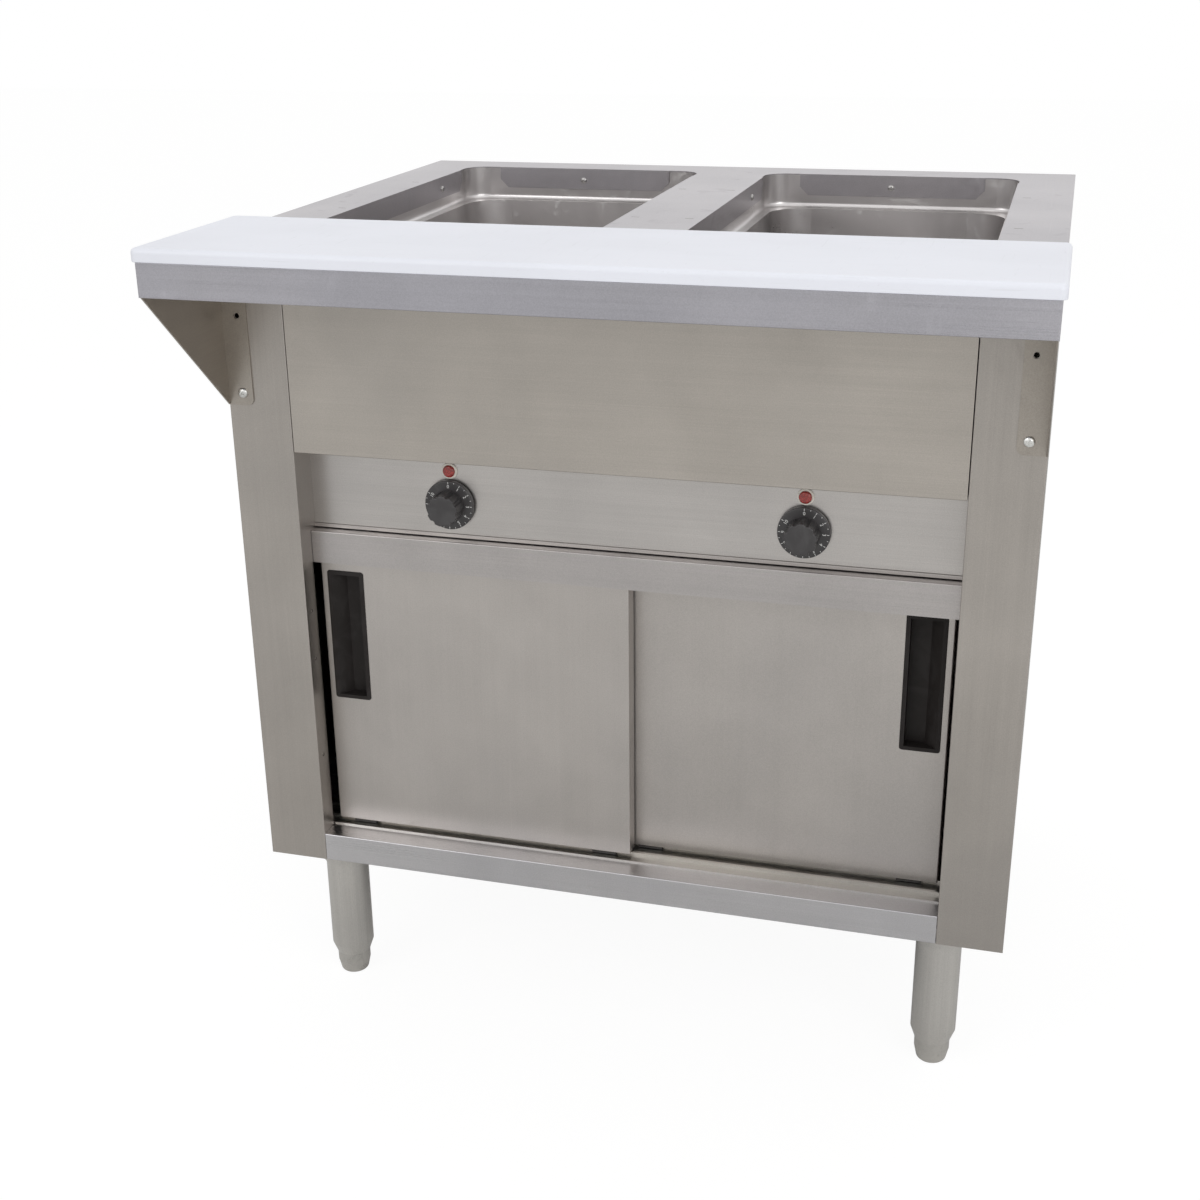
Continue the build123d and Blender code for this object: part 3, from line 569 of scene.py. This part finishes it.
@dataclass(frozen=True)
class LampLens(Finish):
    """Tinted lamp lens, faceted inside and coated by its own gloss."""

    CELLS: ClassVar[float] = 620.0
    EDGE: ClassVar[tuple[float, float]] = (0.1, 0.7)
    DEPTH: ClassVar[float] = 0.45
    FACET_ROUGH: ClassVar[float] = 0.2
    ROUGHNESS: ClassVar[float] = 0.12
    COAT: ClassVar[float] = 0.6
    BUMP_STRENGTH: ClassVar[float] = 0.5
    RELIEF: ClassVar[float] = 0.0004

    def draw(self, graph: Graph) -> None:
        """Fills the graph of this finish.

        Args:
            graph: the graph of its material.
        """
        inputs = {"Vector": graph.place(even(self.CELLS)), "Scale": 1.0}
        facets = graph.node("ShaderNodeTexVoronoi", {}, inputs)
        graph.surface(
            Base_Color=graph.blend(facets.between(*self.EDGE), self.tone, shaded(self.tone, self.DEPTH)),
            Roughness=facets * self.FACET_ROUGH + self.ROUGHNESS,
            Coat_Weight=self.COAT,
            Normal=graph.bump(facets, self.BUMP_STRENGTH, self.RELIEF),
        )


class Tones:
    """The finishes of the table. The stainless parts share one steel in lit and shaded copies, with painted
    light and shade set per part.
    """

    # Copies of one stainless steel in different tones: each part's tone paints in how lit or shaded that
    # part is.
    FRONT = BrushedSteel("front_steel", (0.47, 0.435, 0.395), grain=Grain.ACROSS)
    PANEL = BrushedSteel("panel_steel", (0.53, 0.505, 0.485), grain=Grain.ACROSS, roughness=0.32)
    HEADER = BrushedSteel("header_steel", (0.48, 0.455, 0.445), grain=Grain.ACROSS)
    # Painted light: a lighter copy of the steel for the base rail.
    RAIL = BrushedSteel("rail_steel", (0.58, 0.57, 0.58), grain=Grain.ACROSS, roughness=0.30)
    # Painted shade: a darker copy of the steel for the posts.
    POST = BrushedSteel("post_steel", (0.425, 0.395, 0.365), grain=Grain.UPRIGHT, roughness=0.38)
    DOOR = BrushedSteel("door_steel", (0.50, 0.47, 0.445), grain=Grain.UPRIGHT, roughness=0.40, streak=0.07)
    TOP = BrushedSteel("top_steel", (0.445, 0.425, 0.44), grain=Grain.DEEP, roughness=0.34)
    SHELF = BrushedSteel("shelf_steel", (0.485, 0.475, 0.51), grain=Grain.ACROSS, roughness=0.30)
    # Painted shade: a darker copy of the steel for the brackets.
    BRACKET = BrushedSteel("bracket_steel", (0.40, 0.365, 0.325), grain=Grain.DEEP, roughness=0.38)
    # Painted light: a lighter copy of the steel for the legs and their sockets.
    LEG = BrushedSteel("leg_steel", (0.62, 0.60, 0.57), grain=Grain.UPRIGHT, roughness=0.20, streak=0.20)
    PAN = DrawnSteel("pan_steel", (0.58, 0.56, 0.555))
    PLATED = TurnedMetal("dull_plating", (0.40, 0.39, 0.38), roughness=0.34)
    MARK = BrushedSteel("weld_mark_steel", (0.17, 0.155, 0.14), grain=Grain.DEEP, roughness=0.5)
    TRACK = BrushedSteel("track_metal", (0.56, 0.54, 0.51), grain=Grain.ACROSS, roughness=0.30)
    HOUSING = DrawnSteel("housing_metal", (0.52, 0.53, 0.54), roughness=0.42)
    ZINC = TurnedMetal("bright_zinc", (0.74, 0.74, 0.72))
    FOOT = TurnedMetal("foot_metal", (0.60, 0.58, 0.55), roughness=0.24, tarnish_share=0.2)
    BRASS = TurnedMetal("valve_brass", (0.62, 0.46, 0.22), tarnish=(0.26, 0.17, 0.08))
    SHEATH = TurnedMetal("element_sheath", (0.16, 0.14, 0.13), roughness=0.5)
    CHARCOAL = Moulded("charcoal_plastic", (0.020, 0.017, 0.016), roughness=0.5, dust=0.05, shine=0.18)
    KNOB = Moulded("knob_plastic", (0.042, 0.039, 0.040), roughness=0.36, dust=0.12)
    NYLON = Moulded("glide_nylon", (0.035, 0.033, 0.032), roughness=0.5)
    BEZEL = Moulded("bezel_plastic", (0.78, 0.75, 0.68), roughness=0.35)
    BOX = Moulded("box_paint", (0.36, 0.37, 0.38), roughness=0.5)
    GRIP = Moulded("lever_dip", (0.48, 0.05, 0.04), roughness=0.4)
    PAINT = Moulded("dial_paint", (0.82, 0.82, 0.80), roughness=0.5, dust=0.2)
    BOARD = BoardPlastic("board_plastic", (0.85, 0.865, 0.93))
    LENS = LampLens("lamp_lens", (0.50, 0.045, 0.035))


class Workshop:
    """Makes meshes and puts them on the frame."""

    @staticmethod
    def place(name: str, mesh: bpy.types.Mesh, finish: Finish, body: str, slot: str) -> bpy.types.Object:
        """Adds a mesh as a piece that rides on a body.

        Args:
            name: name of the piece.
            mesh: its mesh, in the row frame.
            finish: its finish.
            body: the body that it moves with.
            slot: the record's material slot; not used.

        Returns:
            The piece.
        """
        piece = bpy.data.objects.new(name, mesh)
        bpy.context.scene.collection.objects.link(piece)
        mesh.materials.clear()
        mesh.materials.append(finish.material())
        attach(piece, body)
        LOG.info("piece %s on %s", name, body)
        return piece

    @staticmethod
    def turned(profile: Sequence[tuple[float, float]], steps: int = 48) -> bpy.types.Mesh:
        """Turns a profile about Z.

        Args:
            profile: radius and height of each point, from the axis round to the axis.
            steps: segments round the axis.

        Returns:
            A closed mesh.
        """
        solid = bmesh.new()
        rings: list[list[bmesh.types.BMVert]] = []
        for radius, height in profile:
            if radius == 0.0:
                rings.append([solid.verts.new((0.0, 0.0, height))])
                continue
            angles = [2.0 * math.pi * step / steps for step in range(steps)]
            spots = [(radius * math.cos(angle), radius * math.sin(angle), height) for angle in angles]
            rings.append([solid.verts.new(spot) for spot in spots])
        for lower, upper in zip(rings, rings[1:]):
            for step in range(steps):
                after = (step + 1) % steps
                corners = [lower[step % len(lower)], lower[after % len(lower)]]
                corners += [upper[after % len(upper)], upper[step % len(upper)]]
                unique = list(dict.fromkeys(corners))
                if len(unique) > 2:
                    solid.faces.new(unique)
        bmesh.ops.recalc_face_normals(solid, faces=solid.faces)
        mesh = bpy.data.meshes.new("turned")
        solid.to_mesh(mesh)
        solid.free()
        return mesh

    @staticmethod
    def block(low: Sequence[float], high: Sequence[float]) -> bpy.types.Mesh:
        """A box between two corners.

        Args:
            low: lowest corner.
            high: highest corner.

        Returns:
            Its mesh.
        """
        solid = bmesh.new()
        bmesh.ops.create_cube(solid, size=1.0)
        size = Vector(high) - Vector(low)
        middle = (Vector(high) + Vector(low)) / 2.0
        solid.transform(Matrix.Translation(middle) @ Matrix.Diagonal((*size, 1.0)))
        mesh = bpy.data.meshes.new("block")
        solid.to_mesh(mesh)
        solid.free()
        return mesh

    @staticmethod
    def joined(copies: Iterable[tuple[bpy.types.Mesh, Matrix]]) -> bpy.types.Mesh:
        """Joins moved copies of meshes into one.

        Args:
            copies: each mesh with its placing.

        Returns:
            The joined mesh.
        """
        whole = bmesh.new()
        for mesh, placing in copies:
            part = mesh.copy()
            part.transform(placing)
            whole.from_mesh(part)
            bpy.data.meshes.remove(part)
        mesh = bpy.data.meshes.new("joined")
        whole.to_mesh(mesh)
        whole.free()
        return mesh

    @staticmethod
    def cut(solid: bpy.types.Mesh, tool: bpy.types.Mesh) -> bpy.types.Mesh:
        """Cuts one closed mesh out of another.

        Args:
            solid: the mesh that is cut.
            tool: the mesh that cuts.

        Returns:
            What is left.
        """
        kept = bpy.data.objects.new("kept", solid)
        cutter = bpy.data.objects.new("cutter", tool)
        for made in (kept, cutter):
            bpy.context.scene.collection.objects.link(made)
        change = kept.modifiers.new("cut", "BOOLEAN")
        change.operation = "DIFFERENCE"
        change.solver = "EXACT"
        change.object = cutter
        graph = bpy.context.evaluated_depsgraph_get()
        mesh = bpy.data.meshes.new_from_object(kept.evaluated_get(graph))
        for made in (kept, cutter):
            bpy.data.objects.remove(made)
        return mesh

    @staticmethod
    def smooth(mesh: bpy.types.Mesh, degrees: float = 35.0) -> bpy.types.Mesh:
        """Shades a mesh smooth, with sharp edges above an angle.

        Args:
            mesh: the mesh.
            degrees: the angle.

        Returns:
            The same mesh.
        """
        mesh.shade_smooth()
        mesh.set_sharp_from_angle(angle=math.radians(degrees))
        return mesh


@dataclass
class CrossScrew:
    """A domed screw with a cross recess, on the +Z side of its seat."""

    head_radius: float = 0.0052
    head_height: float = 0.0032
    shank_radius: float = 0.0024
    length: float = 0.010
    recess_span: float = 0.0052
    recess_width: float = 0.0011
    recess_depth: float = 0.0015
    dome_steps: int = 6
    rim_share: float = 0.3
    recess_clearance: float = 0.5

    def build(self) -> bpy.types.Mesh:
        """Makes the screw.

        Returns:
            Its mesh, with the seat at Z = 0.
        """
        rim = self.head_height * self.rim_share
        dome = [
            (self.head_radius * math.cos(turn), rim + (self.head_height - rim) * math.sin(turn))
            for turn in (math.pi / 2.0 * step / self.dome_steps for step in range(self.dome_steps))
        ]
        profile = [(0.0, -self.length), (self.shank_radius, -self.length), (self.shank_radius, 0.0)]
        profile += [(self.head_radius, 0.0), *dome, (0.0, self.head_height)]
        half, thin = self.recess_span / 2.0, self.recess_width / 2.0
        floor = self.head_height - self.recess_depth
        roof = self.head_height * (1.0 + self.recess_clearance)
        screw = Workshop.turned(profile)
        for span, width in ((half, thin), (thin, half)):
            screw = Workshop.cut(screw, Workshop.block((-span, -width, floor), (span, width, roof)))
        return Workshop.smooth(screw)


class Assembly:
    """A group of nodes that is dressed, and built on where the solids stop."""

    def dress(self) -> None:
        """Gives the nodes their finishes."""

    def build(self) -> None:
        """Adds the pieces that are finer than the solids, if there are any."""


@dataclass
class Sheetwork(Assembly):
    """The steel body: casings, apron, panels, header and shelf."""

    rivet_radius: float = 0.0021
    rivet_height: float = 0.0009
    rivet_crown: float = 0.6
    rivet_rise: float = 1.2
    rivet_steps: int = 20
    rivet_depth: float = 0.012
    rivet_heights: tuple[float, ...] = (0.300, 0.415, 0.470)
    door_opening_half: float = 0.336
    post_return: float = 0.024
    sheet: float = 0.0012
    foot_gap: float = 0.0012

    def build(self) -> None:
        """Adds the rivets of the posts and closes the recess of the control panel."""
        self.rivets()
        self.recess_closers()

    def recess_closers(self) -> None:
        """Adds strips between posts and panel and a foot under the panel."""
        panel_low, panel_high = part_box("control_panel")
        face_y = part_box("left_side_casing")[0].y
        header_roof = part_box("door_header")[1].z
        half = self.door_opening_half
        strips = []
        for hand in HANDS.values():
            left, right = sorted((hand * half, hand * (half + self.sheet)))
            low = (left, face_y + self.post_return, header_roof)
            high = (right, panel_low.y, panel_high.z)
            strips.append((Workshop.block(low, high), Matrix.Identity(4)))
        foot_low = (-half, panel_low.y, header_roof + self.foot_gap)
        foot_high = (half, panel_low.y + self.sheet, panel_low.z)
        Workshop.place("recess_strips", Workshop.joined(strips), Tones.POST, "table", "stainless")
        Workshop.place("panel_foot", Workshop.block(foot_low, foot_high), Tones.PANEL, "table", "stainless")

    def rivets(self) -> None:
        """Adds the small rivets on the inner faces of the posts."""
        crown = (self.rivet_radius * self.rivet_crown, self.rivet_height)
        top = (0.0, self.rivet_height * self.rivet_rise)
        profile = [(0.0, 0.0), (self.rivet_radius, 0.0), crown, top]
        rivet = Workshop.smooth(Workshop.turned(profile, self.rivet_steps))
        for side, hand in HANDS.items():
            low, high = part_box(f"{side}_side_casing")
            x = high.x if hand < 0 else low.x
            y = low.y + self.rivet_depth
            turn = Matrix.Rotation(-hand * math.pi / 2.0, 4, "Y")
            places = [Matrix.Translation((x, y, z)) @ turn for z in self.rivet_heights]
            mesh = Workshop.smooth(Workshop.joined((rivet, place) for place in places))
            Workshop.place(f"{side}_post_rivets", mesh, Tones.MARK, "table", "stainless")

    def dress(self) -> None:
        """Gives the sheets their finishes."""
        Tones.FRONT.put_on(["front_apron", "back_panel"])
        Tones.PANEL.put_on(["control_panel"])
        Tones.HEADER.put_on(["door_header"])
        Tones.RAIL.put_on(["base_shelf"])
        Tones.POST.put_on(f"{side}_side_casing" for side in HANDS)
        Tones.TOP.put_on(["table_top"])


@dataclass
class HotWells(Assembly):
    """The two wells with their screws, housings and elements, and the marks on the top round them."""

    opening_width: float = 0.300
    opening_length: float = 0.520
    sheet: float = 0.0012
    screw_drop: float = 0.0142
    screw_spread: float = 0.300
    screw: CrossScrew = field(
        default_factory=lambda: CrossScrew(
            head_radius=0.0036,
            head_height=0.0022,
            shank_radius=0.0020,
            length=0.005,
            recess_span=0.0038,
            recess_width=0.0009,
            recess_depth=0.0011,
        )
    )
    first_spin: float = 17.0
    spin_step: float = 31.0
    mark_outset: float = 0.0135
    mark_length: float = 0.0085
    mark_width: float = 0.0013
    mark_lift: float = 0.00005
    mark_spots: tuple[float, ...] = (0.10, -0.115)

    def well_middle(self, side: str) -> Vector:
        """Middle of one well at the height of the top.

        Args:
            side: left or right.

        Returns:
            The point.
        """
        low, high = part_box(f"{side}_well_housing")
        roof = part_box("table_top")[1].z
        return Vector(((low.x + high.x) / 2.0, (low.y + high.y) / 2.0, roof))

    def screw_places(self, middle: Vector) -> list[Matrix]:
        """Seats of the screws of one well.

        Args:
            middle: middle of the well at the height of the top.

        Returns:
            One placing for each screw.
        """
        wide = self.opening_width / 2.0 - self.sheet
        long = self.opening_length / 2.0 - self.sheet
        spread = self.screw_spread / 2.0
        spots = [(-wide, -spread, 90), (-wide, spread, 90), (wide, -spread, -90), (wide, spread, -90)]
        spots += [(0.0, long, 0), (0.0, -long, 180)]
        placings = []
        for index, (x, y, degrees) in enumerate(spots):
            seat = Matrix.Translation(middle + Vector((x, y, -self.screw_drop)))
            turn = Matrix.Rotation(math.radians(degrees), 4, "Z")
            spin = Matrix.Rotation(math.radians(self.first_spin + self.spin_step * index), 4, "Z")
            placings.append(seat @ turn @ UPRIGHT @ spin)
        return placings

    def build(self) -> None:
        """Adds the screws of the wells and the weld marks on the top."""
        screw = self.screw.build()
        marks = []
        for side in HANDS:
            middle = self.well_middle(side)
            places = self.screw_places(middle)
            mesh = Workshop.smooth(Workshop.joined((screw, place) for place in places))
            screws = Workshop.place(f"{side}_well_cross_screws", mesh, Tones.PLATED, "table", "zinc")
            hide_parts(f"{side}_well_screws")
            marks += self.weld_marks(middle)
        Workshop.place("top_weld_marks", Workshop.joined(marks), Tones.MARK, "table", "stainless")

    def weld_marks(self, middle: Vector) -> list[tuple[bpy.types.Mesh, Matrix]]:
        """Marks of the spot welds on both sides of one well.

        Args:
            middle: middle of the well at the height of the top.

        Returns:
            Each mark with its placing.
        """
        size = Vector((self.mark_length, self.mark_width, self.sheet / 2.0 + self.mark_lift))
        marks = []
        for edge in HANDS.values():
            x = middle.x + edge * (self.opening_width / 2.0 + self.mark_outset)
            for y in self.mark_spots:
                low = Vector((x - self.mark_length / 2.0, middle.y + y, middle.z - self.sheet / 2.0))
                marks.append((Workshop.block(low, low + size), Matrix.Identity(4)))
        return marks

    def dress(self) -> None:
        """Gives the wells their finishes."""
        Tones.PAN.put_on(f"{side}_{node}" for side in HANDS for node in ("well_pan", "drain_fitting"))
        Tones.HOUSING.put_on(f"{side}_well_housing" for side in HANDS)
        Tones.SHEATH.put_on(f"{side}_heating_element" for side in HANDS)
        Tones.ZINC.put_on(f"{side}_well_screws" for side in HANDS)
        Tones.BRASS.put_on(["drain_pipe"])
        Tones.GRIP.put_on(["drain_lever"])


@dataclass
class Controls(Assembly):
    """The knobs with their dial marks, the pilot lamps and the bodies behind the panel."""

    tick_inner: float = 0.0228
    tick_outer: float = 0.0250
    tick_short: float = 0.0012
    tick_width: float = 0.0005
    numeral_radius: float = 0.0200
    numeral_height: float = 0.0036
    font_ratio: float = 1.35
    numerals: tuple[str, ...] = ("0", "1", "2", "3", "4", "5", "6", "7", "8", "9", "10")
    sweep_degrees: float = 300.0
    paint_lift: float = 0.00012
    dial_thickness: float = 0.005

    def dial_face(self, side: str) -> Matrix:
        """Placing of one dial's face: X to the right, Y up, Z towards the user.

        Args:
            side: left or right.

        Returns:
            The placing.
        """
        low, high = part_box(f"{side}_knob")
        centre = Vector(((low.x + high.x) / 2.0, high.y - self.dial_thickness, (low.z + high.z) / 2.0))
        return Matrix.Translation(centre) @ UPRIGHT

    def numeral(self, text: str) -> bpy.types.Mesh:
        """Mesh of one generic dial number, centred.

        Args:
            text: the number.

        Returns:
            Its mesh, with the middle of its thickness at Z = 0.
        """
        curve = bpy.data.curves.new("numeral", "FONT")
        curve.body = text
        curve.size = self.numeral_height * self.font_ratio
        curve.align_x = "CENTER"
        curve.align_y = "CENTER"
        curve.extrude = self.paint_lift / 2.0
        holder = bpy.data.objects.new("numeral", curve)
        bpy.context.scene.collection.objects.link(holder)
        graph = bpy.context.evaluated_depsgraph_get()
        mesh = bpy.data.meshes.new_from_object(holder.evaluated_get(graph))
        bpy.data.objects.remove(holder)
        return mesh

    def build(self) -> None:
        """Paints ticks and numbers on both dials."""
        half = self.tick_width / 2.0
        gaps = len(self.numerals) - 1
        for side in HANDS:
            face = self.dial_face(side)
            copies: list[tuple[bpy.types.Mesh, Matrix]] = []
            for index in range(2 * gaps + 1):
                degrees = -self.sweep_degrees * index / (2 * gaps)
                turn = Matrix.Rotation(math.radians(degrees), 4, "Z")
                inner = self.tick_inner if index % 2 == 0 else self.tick_outer - self.tick_short
                bar = Workshop.block((-half, inner, 0.0), (half, self.tick_outer, self.paint_lift))
                copies.append((bar, face @ turn))
            for index, text in enumerate(self.numerals):
                turn = Matrix.Rotation(math.radians(-self.sweep_degrees * index / gaps), 4, "Z")
                shift = Matrix.Translation((0.0, self.numeral_radius, self.paint_lift / 2.0))
                copies.append((self.numeral(text), face @ turn @ shift))
            mesh = Workshop.joined(copies)
            Workshop.place(f"{side}_dial_marks", mesh, Tones.PAINT, f"{side}_control", "bezel")

    def dress(self) -> None:
        """Gives the controls their finishes."""
        Tones.KNOB.put_on(f"{side}_knob" for side in HANDS)
        Tones.ZINC.put_on(f"{side}_knob_shaft" for side in HANDS)
        Tones.BOX.put_on([*(f"{side}_thermostat" for side in HANDS), "supply_box"])
        Tones.BEZEL.put_on(f"{side}_pilot_bezel" for side in HANDS)
        Tones.LENS.put_on(f"{side}_pilot_lens" for side in HANDS)
        Tones.CHARCOAL.put_on(["cord_gland"])


class SlidingDoors(Assembly):
    """The two doors with their handles, glides and tracks."""

    def dress(self) -> None:
        """Gives the doors their finishes."""
        Tones.DOOR.put_on(f"{side}_door_panel" for side in HANDS)
        Tones.CHARCOAL.put_on(f"{side}_door_handle" for side in HANDS)
        Tones.NYLON.put_on(f"{side}_door_glides" for side in HANDS)
        Tones.TRACK.put_on(["upper_door_track", "lower_door_track"])


@dataclass
class BoardShelf(Assembly):
    """The cutting board on its shelf, with the brackets and their screws."""

    screw_inset: float = 0.016
    screw_height: float = 0.708
    flange: float = 0.0016
    casing_sheet: float = 0.0012
    spin: float = 20.0
    spin_spread: float = 35.0
    screw: CrossScrew = field(default_factory=CrossScrew)

    def build(self) -> None:
        """Adds the bracket screws."""
        mesh = self.screw.build()
        places = []
        for side, hand in HANDS.items():
            low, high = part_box(f"{side}_side_casing")
            outer = low.x if hand < 0 else high.x
            x = outer - hand * (self.casing_sheet + self.screw_inset)
            seat = Matrix.Translation((x, low.y - self.flange, self.screw_height))
            spin = Matrix.Rotation(math.radians(self.spin - self.spin_spread * hand), 4, "Z")
            places.append(seat @ UPRIGHT @ spin)
        joined = Workshop.smooth(Workshop.joined((mesh, place) for place in places))
        screws = Workshop.place("bracket_cross_screws", joined, Tones.ZINC, "table", "zinc")
        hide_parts("bracket_screws")

    def dress(self) -> None:
        """Gives the board and its shelf their finishes."""
        Tones.SHELF.put_on(["board_shelf"])
        Tones.BRACKET.put_on(f"{side}_shelf_bracket" for side in HANDS)
        Tones.ZINC.put_on(["bracket_screws"])
        Tones.BOARD.put_on(["cutting_board", "board_dowels"])


class Understructure(Assembly):
    """Legs, sockets, feet and the channels above them."""

    def dress(self) -> None:
        """Gives the legs their finishes."""
        corners = [f"{end}_{side}" for end in ENDS for side in HANDS]
        Tones.LEG.put_on(f"{corner}_leg" for corner in corners)
        Tones.LEG.put_on(f"{corner}_leg_socket" for corner in corners)
        Tones.FOOT.put_on(f"{corner}_foot" for corner in corners)
        Tones.FRONT.put_on(f"{side}_leg_channel" for side in HANDS)


@dataclass(frozen=True)
class Lamp:
    """A soft square lamp aimed at the middle of the table."""

    name: str
    place: tuple[float, float, float]
    size: float
    power: float

    def hang(self) -> None:
        """Adds the lamp to the scene."""
        light = bpy.data.lights.new(self.name, "AREA")
        light.size = self.size
        light.energy = self.power
        holder = bpy.data.objects.new(self.name, light)
        bpy.context.scene.collection.objects.link(holder)
        low, high = CAD_BOX
        holder.location = self.place
        aim = (low + high) / 2.0 - Vector(self.place)
        holder.rotation_euler = aim.to_track_quat("-Z", "Y").to_euler()


@dataclass
class Studio:
    """Pale floor, even surroundings and soft lamps."""

    floor_half: float = 12.0
    floor_top: float = -0.0002
    floor_base: float = -0.02
    floor_colour: Colour = (0.80, 0.80, 0.79)
    floor_white: float = 0.86
    floor_glow: float = 1.075
    surround: float = 0.62
    any_ray: float = 0.5
    lamps: tuple[Lamp, ...] = (
        Lamp("key_lamp", place=(-2.2, -3.4, 2.8), size=2.4, power=30.0),
        Lamp("fill_lamp", place=(2.6, -3.0, 2.2), size=2.6, power=40.0),
        Lamp("top_lamp", place=(0.4, 0.8, 3.6), size=2.6, power=14.0),
    )

    def build(self) -> None:
        """Builds the floor, the world and the lamps."""
        self.floor()
        self.world()
        for lamp in self.lamps:
            lamp.hang()

    def floor(self) -> None:
        """Adds the floor, which shows near white and keeps the shadow."""
        reach = self.floor_half
        mesh = Workshop.block((-reach, -reach, self.floor_base), (reach, reach, self.floor_top))
        slab = bpy.data.objects.new("studio_floor", mesh)
        bpy.context.scene.collection.objects.link(slab)
        material = bpy.data.materials.new("studio_floor")
        material.use_nodes = True
        graph = Graph(material.node_tree)
        matte = graph.node("ShaderNodeBsdfDiffuse", {}, {"Color": (*self.floor_colour, 1.0)})
        white = graph.node("ShaderNodeEmission", {}, {"Color": WHITE, "Strength": self.floor_glow})
        seen = graph.node("ShaderNodeLightPath", output="Is Camera Ray")
        graph.end(graph.node("ShaderNodeMixShader", {}, {0: seen * self.floor_white, 1: matte, 2: white}))
        mesh.materials.append(material)

    def world(self) -> None:
        """Fills the surroundings: white to the eye and to gloss, softer as light."""
        world = bpy.data.worlds.new("studio")
        world.use_nodes = True
        bpy.context.scene.world = world
        graph = Graph(world.node_tree)
        eye = graph.node("ShaderNodeLightPath", output="Is Camera Ray")
        gloss = graph.node("ShaderNodeLightPath", output="Is Glossy Ray")
        through = graph.node("ShaderNodeLightPath", output="Is Transmission Ray")
        seen = (eye + gloss + through) > self.any_ray
        strength = seen * (1.0 - self.surround) + self.surround
        backdrop = graph.node("ShaderNodeBackground", {}, {"Color": WHITE, "Strength": strength})
        graph.end(backdrop, "ShaderNodeOutputWorld")


@dataclass
class Viewpoint:
    """The camera at the photograph's viewing angle."""

    place: tuple[float, float, float] = (0.4051, -1.7131, 1.1215)
    lens: float = 49.65
    sensor: float = 36.0
    heading: float = 15.88
    tilt: float = -21.5
    roll: float = 0.7
    near: float = 0.05
    far: float = 60.0

    def build(self) -> None:
        """Makes the camera and gives it to the scene."""
        data = bpy.data.cameras.new("view")
        data.lens = self.lens
        data.sensor_width = self.sensor
        data.clip_start = self.near
        data.clip_end = self.far
        camera = bpy.data.objects.new("view", data)
        bpy.context.scene.collection.objects.link(camera)
        turn = Matrix.Rotation(math.radians(self.heading), 4, "Z")
        turn = turn @ Matrix.Rotation(math.radians(self.tilt), 4, "X")
        turn = turn @ Matrix.Rotation(math.radians(self.roll), 4, "Y")
        camera.matrix_world = Matrix.Translation(self.place) @ turn @ UPRIGHT
        bpy.context.scene.camera = camera


def main() -> None:
    """Builds and dresses the table in its studio."""
    logging.basicConfig(level=logging.INFO, format="%(name)s %(message)s")
    scene = bpy.context.scene
    scene.view_settings.view_transform = "Standard"
    Studio().build()
    Viewpoint().build()
    for assembly in (Sheetwork(), HotWells(), Controls(), SlidingDoors(), BoardShelf(), Understructure()):
        assembly.dress()
        assembly.build()
        LOG.info("dressed %s", type(assembly).__name__)


if __name__ == "__main__":
    main()
